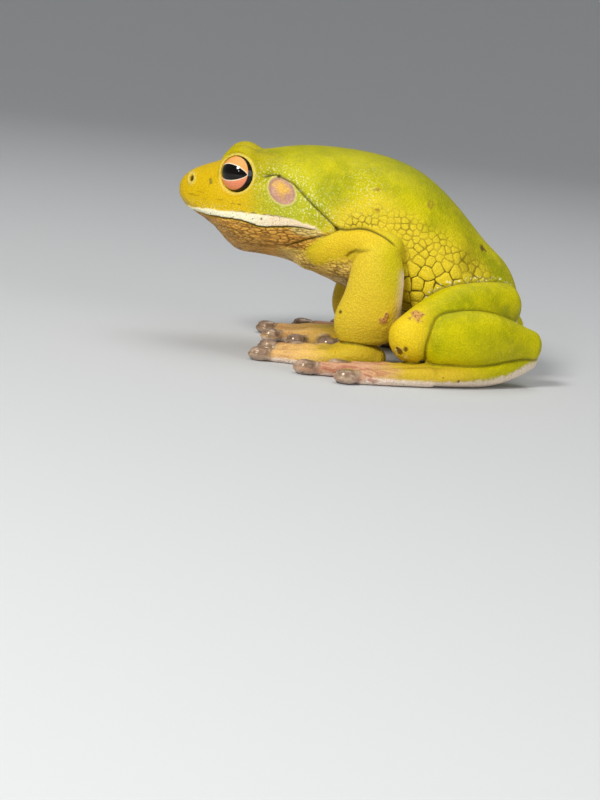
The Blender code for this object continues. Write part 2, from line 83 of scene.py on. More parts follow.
# Each light's place in metres, the width of its disk, its power and its colour, and the even sky
LIGHTS = (
    ("key", (-0.40, -0.70, 0.62), 0.26, 8.4, (1.0, 0.985, 0.95)),
    ("top", (0.10, 0.25, 0.90), 0.7, 2.7, (1.0, 0.99, 0.97)),
    ("fill", (0.65, -0.65, 0.22), 0.6, 2.4, (0.97, 0.98, 1.0)),
    ("spark", (-0.30, -0.80, 0.34), 0.05, 0.6, (1.0, 1.0, 1.0)),
)
SKY = (0.92, 0.94, 0.97, 1.0)
SKY_STRENGTH = 0.46

# The trunk from the snout to the rump: distance along, top, bottom, half width, widest level, and how
# boxy the upper and lower halves are
TRUNK = (
    (-54.1, 43.0, 43.0, 0.0, 43.0, 2.0, 2.0),
    (-53.7, 45.0, 40.9, 2.7, 42.7, 2.0, 2.0),
    (-52.4, 47.0, 39.1, 5.2, 41.4, 2.0, 2.0),
    (-49.8, 49.0, 37.3, 7.9, 40.0, 2.0, 2.0),
    (-46.0, 50.8, 35.3, 11.0, 39.2, 2.1, 2.0),
    (-41.4, 52.8, 32.0, 13.8, 38.8, 2.2, 2.0),
    (-35.9, 55.4, 27.7, 15.9, 38.6, 2.3, 2.0),
    (-29.0, 57.1, 26.9, 17.2, 38.6, 2.4, 2.0),
    (-21.0, 58.9, 26.0, 17.7, 38.7, 2.4, 2.0),
    (-12.0, 59.6, 23.2, 18.0, 38.7, 2.4, 2.0),
    (-2.0, 59.4, 19.6, 19.2, 37.3, 2.3, 2.0),
    (8.2, 57.7, 14.2, 20.6, 33.8, 2.2, 2.1),
    (17.6, 53.5, 9.4, 21.2, 29.2, 2.1, 2.2),
    (27.0, 45.9, 6.4, 20.2, 24.2, 2.0, 2.2),
    (35.2, 37.9, 6.0, 17.0, 20.6, 2.0, 2.2),
    (41.6, 32.4, 7.4, 12.2, 18.6, 2.0, 2.1),
    (45.9, 24.8, 10.4, 6.8, 17.4, 2.0, 2.0),
    (47.3, 16.8, 16.8, 0.0, 16.8, 2.0, 2.0),
)
TRUNK_STEPS = 12
TRUNK_SIDES = 120

# The limbs of one side: distance along, distance out, height, half width and half height
UPPER_ARM = (
    (-11.0, 12.0, 31.8, 6.0, 6.4),
    (-4.5, 15.8, 34.0, 5.4, 5.2),
    (2.0, 20.0, 35.4, 4.9, 4.4),
    (7.0, 22.8, 34.6, 4.6, 4.6),
)
BREAST = (
    (-15.0, 8.6, 30.2, 5.2, 5.6),
    (-8.0, 12.4, 30.4, 5.4, 6.2),
    (-1.0, 16.4, 30.2, 4.6, 6.0),
    (4.0, 18.6, 30.0, 3.6, 4.6),
)
FOREARM = (
    (4.9, 23.5, 33.6, 4.3, 6.0),
    (4.7, 23.8, 29.0, 4.8, 7.4),
    (4.6, 23.6, 24.0, 5.1, 7.9),
    (4.2, 23.0, 18.6, 5.2, 8.6),
    (3.7, 22.4, 13.6, 4.9, 9.4),
    (4.0, 21.8, 9.8, 4.0, 8.4),
)
THIGH = (
    (40.4, 10.0, 21.1, 6.8, 7.2),
    (33.8, 16.0, 20.8, 7.1, 7.5),
    (27.0, 21.8, 19.2, 6.8, 7.3),
    (20.6, 27.4, 15.8, 6.3, 6.8),
    (15.6, 31.4, 11.5, 5.8, 6.8),
)
SHANK = (
    (23.8, 30.6, 12.1, 6.1, 7.9),
    (31.0, 27.6, 12.6, 6.7, 8.5),
    (38.5, 23.8, 12.6, 6.1, 7.9),
    (44.6, 19.8, 12.1, 4.9, 6.3),
    (49.8, 16.8, 11.5, 4.0, 4.9),
)
PALM = (
    (6.6, 19.8, 3.4, 4.8, 3.6),
    (2.0, 20.4, 4.2, 6.0, 4.6),
    (-3.0, 21.0, 3.3, 6.0, 3.6),
    (-7.0, 21.2, 2.4, 5.4, 2.6),
)
SOLE = (
    (49.0, 16.0, 9.2, 4.0, 4.9),
    (43.4, 19.8, 6.4, 5.0, 4.9),
    (36.5, 24.6, 4.2, 6.0, 4.3),
    (28.5, 29.0, 3.2, 7.4, 3.5),
    (21.0, 32.2, 2.7, 8.0, 3.0),
    (15.0, 34.2, 2.4, 7.2, 2.6),
)

# Digits from the inner one out: root, middle knuckle and pad
FINGERS = (
    ((4.0, 16.5), (-0.5, 11.2), (-6.2, 6.8)),
    ((0.0, 17.5), (-7.5, 11.6), (-15.8, 5.4)),
    ((-3.5, 19.6), (-12.0, 15.6), (-23.2, 10.8)),
    ((-3.5, 24.2), (-12.5, 25.6), (-25.1, 26.4)),
)
TOES = (
    ((27.0, 26.4), (23.0, 24.6), (18.8, 22.8)),
    ((23.5, 29.6), (19.0, 29.0), (14.0, 28.6)),
    ((20.0, 32.2), (9.5, 32.4), (-3.2, 32.4)),
    ((18.0, 35.0), (5.0, 37.8), (-11.9, 40.4)),
    ((22.0, 37.6), (12.0, 42.4), (-0.8, 48.0)),
)
FINGER_HALF = (2.8, 2.4, 2.0)
TOE_HALF = (2.7, 2.4, 2.1)
FINGER_PAD = (3.3, 2.9, 1.9)
TOE_PAD = (3.6, 3.2, 2.0)
FINGER_WEB = 0.45
TOE_WEB = 0.8
WEB_LEVELS = (0.5, 1.25)
PAD_SUNK = 0.2

# How far the elbow and the leg of each side stand ahead of the tables, which are those of the near side
ELBOW_FORWARD = {-1.0: 0.0, 1.0: 4.0}
LEG_FORWARD = {-1.0: 0.0, 1.0: 2.5}

# The eyes: the ball, where it looks, the swelling that carries it and the opening of the lids. The iris
# sits a little ahead of and above the opening's middle
EYE_RADIUS = 5.7
EYE_CENTRE = (-36.3, 10.6, 49.5)
EYE_FORWARD = 28.0
EYE_UPWARD = 6.0
LID_RADII = (6.6, 6.1, 7.4)
LID_CENTRE = (-36.3, 9.6, 50.3)
NAPE_RADII = (9.0, 5.4, 5.6)
NAPE_CENTRE = (-30.2, 8.8, 50.6)
LID_OPENING = 5.1
LID_DROP = 0.25
LID_RIM = 0.42
IRIS_RADIUS = 4.75
IRIS_SHIFT = (0.55, -0.05)
PUPIL_REAR = -0.97
PUPIL_FRONT = 0.97
PUPIL_TALL = 0.47
PUPIL_SWELL = 2.26
BEHIND_EYE = 3.0

# Lines on the side of the body, as distance along and height: the mouth, the lip's upper edge, the fold
# over the ear, the crease under the jaw and the crease over the arm
MOUTH = (
    (-54.4, 38.9), (-50.4, 37.9), (-44.3, 37.1), (-37.9, 37.2), (-33.2, 36.9),
    (-29.5, 36.2), (-25.5, 36.6), (-20.9, 37.2), (-16.0, 37.3), (-11.0, 36.9),
)
LIP_TOP = (
    (-54.4, 39.5), (-50.6, 38.5), (-46.1, 38.8), (-41.3, 39.0), (-36.6, 39.3),
    (-30.0, 39.5), (-21.2, 39.4), (-18.4, 38.8), (-14.9, 38.1), (-11.0, 37.3),
)
FOLD = (
    (-30.8, 49.7), (-28.7, 50.3), (-26.3, 50.7), (-22.5, 49.5), (-19.8, 47.7),
    (-15.7, 44.2), (-7.9, 38.2),
)
JAW_CREASE = ((-7.9, 38.0), (-9.9, 36.4), (-15.1, 34.2), (-20.3, 31.8), (-25.0, 30.9))
ELBOW_CREASE = ((-4.2, 31.0), (-2.6, 32.6), (0.4, 33.9), (3.4, 34.4))
ARM_CREASE = ((-8.4, 38.2), (-5.0, 38.6), (-0.2, 39.6), (5.6, 38.2), (9.6, 35.4))
HOLLOW = (30.4, 33.6, 5.2)
GAPE = (-15.6, 36.4)
GAPE_RADII = (5.2, 1.7)
EAR_CENTRE = (-24.4, 46.6)
EAR_RADII = (4.2, 3.2)
EAR_SLANT = 38.0
NOSTRIL = (-50.5, 46.2)
NOSTRIL_RADII = (0.55, 0.8)

# Where the cobbled flank and the yellow of the side end below the back, as distance along and height
FLANK_TOP = (
    (-12.0, 40.0), (0.0, 44.0), (10.0, 45.5), (20.0, 42.5), (30.0, 36.0),
    (38.0, 30.5), (46.0, 20.0),
)
YELLOW_TOP = ((-12.0, 44.0), (0.0, 47.0), (12.0, 46.0), (24.0, 40.0), (36.0, 32.0), (46.0, 20.0))

# Furrows on the top of the foot between its toes, as distance along and distance out
TOE_FURROWS = (
    ((8.0, 40.6), (12.0, 39.4), (17.0, 37.6), (22.0, 35.9), (27.0, 34.6)),
    ((2.0, 35.6), (6.0, 35.0), (12.0, 34.3), (19.0, 33.4)),
)

# Where the shoulder and the elbow are smoothed: distance along, distance out, height and reach
SHOULDER = (-8.0, 14.5, 28.5, 8.0)
ELBOW = (7.5, 24.0, 34.0, 5.5)

# Pairs of forms with a crease where they meet, pushed in and darkened with painted shade, and how deep it
# is
CREASED = (
    ("thigh", "shank", 0.8),
    ("thigh", "trunk", 0.7),
    ("shank", "sole", 0.8),
    ("shank", "trunk", 0.5),
    ("forearm", "palm", 0.9),
    ("forearm", "trunk", 0.8),
    ("thigh", "sole", 0.8),
    ("thigh", "toe", 0.8),
)
CREASE_WIDTH = 0.22

# Colours as they show on a screen, red, green and blue up to 255
GREEN = (158, 158, 0)
LIME = (196, 186, 0)
SUN_LIME = (210, 198, 6)
CREAM = (248, 242, 208)
EAR_PALE = (218, 208, 132)
# Pale specks of the skin, also used for painted highlight glints on the shoulder
SPECK_AND_GLINT_PALE = (226, 226, 150)
THROAT_LINE = (98, 58, 20)
TOE_RED = (172, 96, 78)
PAD_PALE = (204, 178, 154)
PAD_DARK = (96, 80, 62)
GROOVE_BROWN = (84, 68, 8)
SCUFF_BROWN = (92, 56, 24)
NEAR_BLACK = (14, 10, 8)
IRIS_GOLD = (234, 166, 96)
IRIS_SALMON = (236, 142, 102)
IRIS_STREAK = (188, 112, 60)
PUPIL_RING = (236, 218, 186)

# The skin's regions in the order in which they are painted: mask, colour and strength
REGIONS = (
    ("flank_yellow", (228, 200, 46), 0.9),
    ("snout", (214, 176, 10), 0.97),
    ("brow", (180, 164, 0), 0.8),
    ("ridge", GREEN, 0.6),
    ("cheek", (184, 188, 52), 0.7),
    ("throat", (224, 164, 72), 1.0),
    ("chest", (255, 216, 136), 0.9),
    ("arm", (226, 192, 40), 0.9),
    ("forearm_gold", (224, 192, 52), 0.92),
    ("elbow_lime", LIME, 0.75),
    # Painted shade in the hollow ahead of the hip
    ("hollow", (126, 112, 6), 0.45),
    ("knee", (236, 202, 36), 0.9),
    ("belly", (255, 228, 170), 0.9),
    ("foot_skin", (216, 180, 50), 0.85),
    ("finger_skin", (248, 202, 118), 0.75),
    ("shank_sun", SUN_LIME, 0.8),
    ("toe_skin", (210, 158, 132), 0.9),
    ("web", (158, 116, 112), 0.75),
    ("pad", (146, 118, 100), 0.95),
    ("fringe", (255, 234, 216), 0.92),
    ("gape", (232, 210, 130), 0.8),
    ("lip", CREAM, 1.0),
    ("lip_rear", (238, 206, 178), 0.7),
    ("ear", (190, 142, 128), 0.97),
    ("ear_middle", (226, 176, 72), 0.9),
    ("ear_rim", EAR_PALE, 0.75),
    ("nostril_rim", EAR_PALE, 0.5),
    ("rim", (232, 206, 104), 0.85),
)

# Marks, dark lines, a painted highlight and painted shade, in the order in which they are painted over the
# regions: mask and colour
DETAILS = (
    # A streak of painted highlight on the upper arm
    ("pale", CREAM),
    ("line", (128, 96, 14)),
    ("worn", (240, 224, 136)),
    ("graze", (150, 120, 40)),
    ("scab", (196, 140, 84)),
    ("scuff", SCUFF_BROWN),
    ("smudge", (104, 96, 40)),
    ("lip_edge", SCUFF_BROWN),
    ("spot", NEAR_BLACK),
    # Painted shade along the creases, the furrows between the toes and the grooves behind the pads
    ("crease", (56, 52, 10)),
    ("mouth", NEAR_BLACK),
    ("nostril", NEAR_BLACK),
)

# The cobbled skin of the flank: its largest and smallest cells, their relief, the width of a groove and
# how far from the groove its mask reaches
COBBLE_SIZES = (2.9, 1.5)
COBBLE_RELIEF = 0.42
COBBLE_GROOVE = 1.1
GAP_SPAN = 1.5

# Each kind of small mark on the near side: how ragged its edge is, its strength, how flat it lies, whether
# it is broken up, and for every mark its distance along and height, radius and how much longer than high
MARKS = {
    "scab": (0.7, 1.0, 0.6, False, (
        (16.4, 18.9, 1.5, 1.4), (14.6, 18.2, 0.9, 1.2), (8.6, 16.9, 1.2, 0.6), (7.6, 15.4, 1.0, 1.2),
    )),
    "scuff": (0.7, 1.0, 0.6, False, (
        (12.7, 8.5, 1.0, 1.1), (14.6, 9.4, 0.8, 0.9), (34.6, 37.4, 1.2, 1.0), (30.2, 2.2, 0.6, 0.7),
    )),
    "spot": (0.2, 1.0, 0.6, False, (
        (11.6, 32.4, 0.45, 1.0), (-4.4, 16.1, 0.75, 0.9), (-2.7, 14.3, 0.35, 1.0), (-25.7, 50.5, 0.5, 1.2),
        (25.8, 3.4, 0.4, 1.4), (29.4, 4.3, 0.45, 0.8), (33.4, 4.3, 0.4, 0.7), (35.2, 3.0, 0.35, 0.6),
        (-29.2, 38.3, 0.25, 1.6), (-31.6, 38.0, 0.2, 1.2),
    )),
    "graze": (0.9, 1.0, 0.6, True, ((2.1, 50.3, 0.8, 2.0), (2.7, 45.4, 1.3, 1.3), (17.8, 48.0, 1.6, 1.2))),
    "smudge": (0.7, 0.8, 0.6, False, ((-44.6, 49.6, 0.8, 0.5), (-44.9, 46.8, 1.1, 0.7))),
    # A streak of painted highlight along the top of the upper arm
    "pale": (0.3, 1.0, 0.6, False, ((2.6, 35.6, 0.35, 4.0),)),
    "worn": (0.8, 1.0, 0.6, True, ((12.6, 8.4, 1.7, 0.9), (14.6, 6.8, 1.3, 0.8))),
    "line": (1.5, 0.6, 0.05, False, (
        (-49.6, 41.9, 0.16, 9.0), (-45.6, 41.3, 0.15, 8.0), (-41.2, 41.9, 0.14, 7.0),
        (-47.4, 43.0, 0.12, 6.0), (-36.6, 41.4, 0.14, 9.0),
    )),
}
MARK_SEARCH = 1.2


def steps_between(rows, per_gap):
    """Rows of values, joined by a natural cubic spline with per_gap steps from each to the next."""
    rows = np.array(rows, float)
    last = len(rows) - 1
    system = np.eye(last + 1)
    wanted = np.zeros_like(rows)
    for i in range(1, last):
        system[i, i - 1 : i + 2] = (1.0, 4.0, 1.0)
        wanted[i] = 6.0 * (rows[i + 1] - 2.0 * rows[i] + rows[i - 1])
    bend = np.linalg.solve(system, wanted)
    at = np.linspace(0.0, last, last * per_gap + 1)
    low = np.minimum(at.astype(int), last - 1)
    b = (at - low)[:, None]
    a = 1.0 - b
    curve = ((a**3 - a) * bend[low] + (b**3 - b) * bend[low + 1]) / 6.0
    return a * rows[low] + b * rows[low + 1] + curve


def unit(value):
    """The value kept between 0 and 1."""
    return np.clip(value, 0.0, 1.0)


def ramp(value, low, high):
    """A smooth step from 0 at low to 1 at high, which may lie in either order."""
    share = unit((value - low) / (high - low))
    return share * share * (3.0 - 2.0 * share)


def window(value, start, full, fading, end):
    """One from full to fading, and smoothly down to zero at start and at end."""
    return ramp(value, start, full) * ramp(value, end, fading)


def bell(value, width):
    return np.exp(-((value / width) ** 2))


class Noise:
    """Smooth value noise in space, the same each run."""

    def __init__(self, seed):
        self.table = np.random.default_rng(seed).random(NOISE_SIZE) * 2.0 - 1.0

    def __call__(self, points, scale, octaves=1):
        total, weight = np.zeros(len(points)), 0.0
        for octave in range(octaves):
            share = 0.5**octave
            total += share * self.layer(points * (2.0**octave / np.array(scale)) + 17.3 * octave)
            weight += share
        return total / weight

    def layer(self, points):
        low = np.floor(points).astype(np.int64)
        part = points - low
        part = part * part * (3.0 - 2.0 * part)
        total = np.zeros(len(points))
        for corner in np.ndindex(2, 2, 2):
            cell = low + corner
            key = np.bitwise_xor.reduce(cell * NOISE_PRIMES, axis=1) & (NOISE_SIZE - 1)
            weight = np.prod(np.where(corner, part, 1.0 - part), axis=1)
            total += self.table[key] * weight
        return total


NOISE = Noise(SEED)


def to_line(across, up, line):
    """Distance from points in a flat view to a smooth line, and how far along it the nearest place is."""
    path = steps_between(line, LINE_STEPS)
    nearest = np.full(len(across), np.inf)
    along = np.zeros(len(across))
    for i, (start, end) in enumerate(zip(path, path[1:])):
        way = end - start
        share = unit(((across - start[0]) * way[0] + (up - start[1]) * way[1]) / (way @ way))
        gap = np.hypot(across - start[0] - share * way[0], up - start[1] - share * way[1])
        closer = gap < nearest
        nearest[closer] = gap[closer]
        along[closer] = (i + share[closer]) / (len(path) - 1)
    return nearest, along


def height_on(line, across):
    """A line's height at each distance along the body."""
    return np.interp(across, *steps_between(line, LINE_STEPS).T)


def limb_frames(stations, axis, side, per_gap):
    """A limb's rows and path, and at each row the ways along the limb, across it and up its height axis."""
    rows = steps_between(stations, per_gap)
    path = rows[:, :3] * (1.0, side, 1.0)
    along = np.gradient(path, axis=0)
    along /= np.linalg.norm(along, axis=1)[:, None]
    up = axis - along * (along @ axis)[:, None]
    up /= np.linalg.norm(up, axis=1)[:, None]
    return rows, path, along, np.cross(along, up), up


def round_turns(sides):
    """The angles of points spaced evenly round a circle."""
    return np.linspace(0.0, 2.0 * math.pi, sides, endpoint=False)


def quads(index):
    """Faces between the rows of a grid of point numbers that closes on itself along each row."""
    after = np.roll(index, -1, axis=1)
    return np.stack([index[:-1], after[:-1], after[1:], index[1:]], axis=-1).reshape(-1, 4).tolist()


class Shapes:
    """Closed meshes gathered into one list of points and faces, in millimetres."""

    def __init__(self):
        self.points = []
        self.faces = []
        self.labels = []
        self.label = ""

    def add(self, points):
        """Takes in points under the present label. Returns the number of the first."""
        base = len(self.labels)
        self.points.append(np.array(points))
        self.labels += [self.label] * len(points)
        return base

    def loft(self, rings, first_pole, last_pole):
        rings = np.array(rings)
        rows, around = rings.shape[:2]
        index = self.add([*rings.reshape(-1, 3), first_pole, last_pole])
        index = index + np.arange(rows * around).reshape(rows, around)
        self.faces += quads(index)
        pole = index[-1, -1] + 1
        for a, b in zip(index[0], np.roll(index[0], -1)):
            self.faces.append([pole, b, a])
        for a, b in zip(index[-1], np.roll(index[-1], -1)):
            self.faces.append([pole + 1, a, b])

    def tube(self, stations, axis, side, sides=40, per_gap=10, blunt=0.9):
        rows, path, along, across, up = limb_frames(stations, axis, side, per_gap)
        turns = round_turns(sides)

        def ring(i, ahead=0.0, size=1.0):
            wide = np.outer(np.cos(turns) * rows[i, 3] * size, across[i])
            return path[i] + along[i] * ahead + wide + np.outer(np.sin(turns) * rows[i, 4] * size, up[i])

        def cap(i, way):
            reach = way * blunt * (rows[i, 3] + rows[i, 4]) / 2.0
            rings = [ring(i, reach * math.sin(t), math.cos(t)) for t in np.radians(CAP_TURNS)]
            return rings, path[i] + along[i] * reach

        first, first_pole = cap(0, -1.0)
        last, last_pole = cap(-1, 1.0)
        middle = [ring(i) for i in range(len(rows))]
        self.loft(first[::-1] + middle + last, first_pole, last_pole)

    def ellipsoid(self, centre, radii, turn=0.0, sides=32, rows=20):
        turns = round_turns(sides)
        spin = np.array(Matrix.Rotation(turn, 3, "Z"))
        rings = []
        for t in np.linspace(0.0, math.pi, rows + 1)[1:-1]:
            level = np.stack([np.cos(turns), np.sin(turns)], axis=1) * math.sin(t)
            ring = np.column_stack([level, np.full(sides, -math.cos(t))])
            rings.append(ring * radii @ spin.T + centre)
        self.loft(rings, centre - UP * radii[2], centre + UP * radii[2])

    def plate(self, outline, low, high):
        """A flat outline of (x, y) made a plate between two heights."""
        count = len(outline)
        base = self.add([(*point, z) for z in (low, high) for point in outline])
        index = base + np.arange(2 * count).reshape(2, count)
        self.faces += [index[0, ::-1].tolist(), index[1].tolist(), *quads(index)]

    def mesh(self, name):
        made = bpy.data.meshes.new(name)
        made.from_pydata(np.concatenate(self.points) * MM, [], self.faces)
        body = bmesh.new()
        body.from_mesh(made)
        bmesh.ops.recalc_face_normals(body, faces=body.faces)
        body.to_mesh(made)
        body.free()
        return made


def trunk(shapes):
    rows = steps_between(TRUNK, TRUNK_STEPS)
    turns = round_turns(TRUNK_SIDES)
    rings = []
    for x, top, bottom, half_width, level, upper, lower in rows[1:-1]:
        above = np.sin(turns) > 0.0
        bend = 2.0 / np.where(above, upper, lower)
        height = np.where(above, top - level, level - bottom)
        y = half_width * np.sign(np.cos(turns)) * np.abs(np.cos(turns)) ** bend
        z = level + height * np.sign(np.sin(turns)) * np.abs(np.sin(turns)) ** bend
        rings.append(np.stack([np.full_like(y, x), y, z], axis=1))
    shapes.loft(rings, *[(row[0], 0.0, row[4]) for row in (rows[0], rows[-1])])


def moved(stations, first, last=None):
    """Stations shifted towards the head, by an amount that may change from the first to the last."""
    shifts = np.linspace(first, first if last is None else last, len(stations))
    return [(x - shift, *rest) for shift, (x, *rest) in zip(shifts, stations)]


def digit(shapes, side, line, halves, pad):
    (x0, y0), (x1, y1), (x2, y2) = line
    root, knuckle, tip = halves
    way = np.array([x2 - x1, y2 - y1])
    way /= np.linalg.norm(way)
    end = np.array([x2, y2]) - way * pad[0] * 0.6
    narrow = end * 0.35 + np.array([x1, y1]) * 0.65
    stations = (
        (x0, y0, root, root, root),
        (x1, y1, knuckle * 0.95, knuckle * 1.05, knuckle * 0.95),
        (*narrow, tip, tip, tip * 1.02),
        (*end, tip * 0.9, tip * 0.92, tip * 0.9),
    )
    shapes.tube(stations, UP, side, sides=24, per_gap=8)
    shapes.ellipsoid((x2, side * y2, pad[2] - PAD_SUNK), pad, math.atan2(side * way[1], way[0]))


def web(shapes, side, first, second, reach):
    a, b = (steps_between(line, 12) for line in (first, second))
    count = max(1, round(reach * (len(a) - 1)))
    middle = (np.array(first[0]) + np.array(second[0])) / 2.0
    edge = []
    for share in np.linspace(0.0, 1.0, 9)[1:-1]:
        straight = a[count] * (1.0 - share) + b[count] * share
        edge.append(straight + (middle - straight) * 0.3 * math.sin(math.pi * share))
    outline = [*a[: count + 1], *edge, *b[: count + 1][::-1]]
    shapes.plate([(x, side * y) for x, y in outline], *WEB_LEVELS)


def body_shapes():
    """Every form of flesh, overlapping and labelled, before it is fused into one skin."""
    shapes = Shapes()
    shapes.label = "trunk"
    trunk(shapes)
    for side in SIDES:
        forward = LEG_FORWARD[side]
        shapes.label = "lid"
        for (x, y, z), radii in ((LID_CENTRE, LID_RADII), (NAPE_CENTRE, NAPE_RADII)):
            shapes.ellipsoid((x, side * y, z), radii, sides=48, rows=32)
        for label, stations, axis, blunt in (
            ("breast", BREAST, UP, 0.9),
            ("upper_arm", moved(UPPER_ARM, 0.0, ELBOW_FORWARD[side]), UP, 0.9),
            ("forearm", moved(FOREARM, ELBOW_FORWARD[side], 0.0), AHEAD, 0.45),
            ("thigh", moved(THIGH, forward), UP, 0.9),
            ("shank", moved(SHANK, forward), UP, 0.8),
            ("palm", PALM, UP, 0.9),
            ("sole", moved(SOLE, forward), UP, 0.9),
        ):
            shapes.label = label
            shapes.tube(stations, axis, side, blunt=blunt)
        toes = [moved(line, forward) for line in TOES]
        for label, lines, halves, pad, reach in (
            ("finger", FINGERS, FINGER_HALF, FINGER_PAD, FINGER_WEB),
            ("toe", toes, TOE_HALF, TOE_PAD, TOE_WEB),
        ):
            shapes.label = label
            for line in lines:
                digit(shapes, side, line, halves, pad)
            shapes.label = f"{label}_web"
            for first, second in zip(lines, lines[1:]):
                web(shapes, side, first, second, reach)
    return shapes


def added(name, data):
    """A new object with this data, in the scene."""
    made = bpy.data.objects.new(name, data)
    bpy.context.scene.collection.objects.link(made)
    return made


def fused(mesh):
    """The overlapping forms as one closed skin of even quads."""
    obj = added("skin", mesh)
    modifier = obj.modifiers.new("fuse", "REMESH")
    modifier.mode = "VOXEL"
    modifier.voxel_size = VOXEL * MM
    modifier.use_smooth_shade = True
    graph = bpy.context.evaluated_depsgraph_get()
    made = bpy.data.meshes.new_from_object(obj.evaluated_get(graph))
    obj.modifiers.clear()
    obj.data = made
    return obj


def read(items, key, width=3, kind=float):
    """One property of all of a mesh's items, as an array with a row for each."""
    flat = np.empty(len(items) * width, dtype=kind)
    items.foreach_get(key, flat)
    return flat.reshape(-1, width)


class Skin:
    """The fused skin's points as arrays, in millimetres, with what shaping them needs."""

    def __init__(self, mesh):
        self.mesh = mesh
        self.count = len(mesh.vertices)
        self.at = read(mesh.vertices, "co") / MM
        self.edges = read(mesh.edges, "vertices", 2, np.int64)
        self.valence = np.bincount(self.edges.ravel(), minlength=self.count).astype(float)

    def write(self):
        self.mesh.vertices.foreach_set("co", (self.at * MM).ravel())
        self.mesh.update()

    def push(self, amount):
        """Moves each point along the skin's normal there."""
        self.write()
        self.at += read(self.mesh.vertex_normals, "vector") * amount[:, None]

    def spread(self, values):
        """The mean of each point's neighbours."""
        a, b = self.edges.T
        total = np.bincount(a, values[b], self.count) + np.bincount(b, values[a], self.count)
        return total / self.valence

    def smooth(self, weight, times):
        """Relaxes the points towards their neighbours' mean, only where the weight acts."""
        chosen = np.flatnonzero(weight > WEIGHT_CUT)
        place = np.full(self.count, -1)
        place[chosen] = np.arange(len(chosen))
        ends = np.concatenate([self.edges, self.edges[:, ::-1]])
        ends = ends[place[ends[:, 0]] >= 0]
        row, other = place[ends[:, 0]], ends[:, 1]
        valence, share = self.valence[chosen][:, None], weight[chosen][:, None]

        def pull():
            total = [np.bincount(row, self.at[other, k], len(chosen)) for k in range(3)]
            return np.stack(total, axis=1) / valence - self.at[chosen]

        for _ in range(times):
            self.at[chosen] += pull() * share * 0.5
            self.at[chosen] -= pull() * share * 0.1


def camera():
    """The photograph's view: the frog's left side from a little above, turned with the floor."""
    data = bpy.data.cameras.new("camera")
    data.sensor_fit = "VERTICAL"
    data.sensor_height = SENSOR
    data.lens = SENSOR * DISTANCE / (FRAME_HEIGHT * PIXEL * MM)
    data.clip_start = 0.01
    data.dof.use_dof = False
    made = added("camera", data)
    tilt = Matrix.Rotation(math.radians(90.0 - ELEVATION), 4, "X")
    roll = Matrix.Rotation(math.radians(ROLL), 4, "Z")
    back = Matrix.Translation((0.0, 0.0, DISTANCE))
    made.matrix_world = Matrix.Translation(AIM) @ tilt @ roll @ back
    bpy.context.scene.camera = made


def light(name, place, size, power, colour):
    data = bpy.data.lights.new(name, "AREA")
    data.shape = "DISK"
    data.size = size
    data.energy = power
    data.color = colour
    aim = (-Vector(place)).to_track_quat("-Z", "Y").to_matrix().to_4x4()
    added(name, data).matrix_world = Matrix.Translation(place) @ aim


def bowl():
    """The outline of the floor and of the wall it sweeps up into: distance out and height."""
    turn = np.linspace(0.0, math.pi / 2.0, BOWL_STEPS)
    flat = [(share * BOWL_FLAT, 0.0) for share in (0.1, 0.3, 0.6)]
    sweep = [(BOWL_FLAT + BOWL_BEND * math.sin(a), BOWL_BEND * (1.0 - math.cos(a))) for a in turn]
    return [*flat, *sweep, (BOWL_FLAT + BOWL_BEND, BOWL_HEIGHT)]


def studio():
    """A pale floor that sweeps up into a round wall, and soft light."""
    for settings in LIGHTS:
        light(*settings)
    world = bpy.data.worlds.new("studio")
    world.use_nodes = True
    sky = world.node_tree.nodes["Background"].inputs
    sky["Color"].default_value = SKY
    sky["Strength"].default_value = SKY_STRENGTH
    bpy.context.scene.world = world
    bpy.context.scene.view_settings.view_transform = "Standard"
    turns = round_turns(BOWL_SIDES)
    points = [(out * math.cos(a), out * math.sin(a), height) for out, height in bowl() for a in turns]
    index = np.arange(len(points)).reshape(-1, BOWL_SIDES)
    mesh = bpy.data.meshes.new("studio_floor")
    mesh.from_pydata(points, [], [index[0].tolist(), *quads(index[::-1])])
    mesh.shade_smooth()
    grey = {"Base Color": FLOOR_GREY, "Roughness": 1.0, "Specular IOR Level": 0.0}
    mesh.materials.append(Nodes("pale_floor").surface(grey))
    added("studio_floor", mesh)


def eye_frame(side):
    """The eye's own axes: its third column looks out along the line of sight."""
    forward, upward = math.radians(EYE_FORWARD), math.radians(EYE_UPWARD)
    look = Vector((-math.sin(forward), side * math.cos(forward), math.tan(upward))).normalized()
    x, y, z = EYE_CENTRE
    level = Vector(UP).cross(look).normalized()
    turn = Matrix((level, look.cross(level), look)).transposed().to_4x4()
    return Matrix.Translation(Vector((x, side * y, z))) @ turn


def tree_of(points):
    tree = KDTree(len(points))
    for i, point in enumerate(points):
        tree.insert(point, i)
    tree.balance()
    return tree


def labelled(skin, shapes):
    """For each label, one at the points of the skin that came from shapes with it, and zero elsewhere."""
    tree = tree_of(np.concatenate(shapes.points))
    names = sorted(set(shapes.labels))
    number = np.array([names.index(label) for label in shapes.labels])
    owner = number[[tree.find(point)[1] for point in skin.at]]
    return {name: (owner == i).astype(float) for i, name in enumerate(names)}


def limb_place(points, stations, axis, side):
    """Where points lie on a limb: share of its length, across to the outside and along its height axis.

    The last two are in units of the limb's half sizes there, so its skin is at about one from the middle.
    """
    rows, path, _, across, up = limb_frames(stations, axis, side, 12)
    nearest, best = np.zeros(len(points), dtype=int), np.full(len(points), np.inf)
    for i, centre in enumerate(path):
        gap = np.sum((points - centre) ** 2, axis=1)
        closer = gap < best
        nearest[closer], best[closer] = i, gap[closer]
    across *= np.where(across[:, 1] * side > 0.0, 1.0, -1.0)[:, None]
    away = points - path[nearest]
    wide = np.sum(away * across[nearest], axis=1) / rows[nearest, 3]
    tall = np.sum(away * up[nearest], axis=1) / rows[nearest, 4]
    return nearest / (len(path) - 1), wide, tall


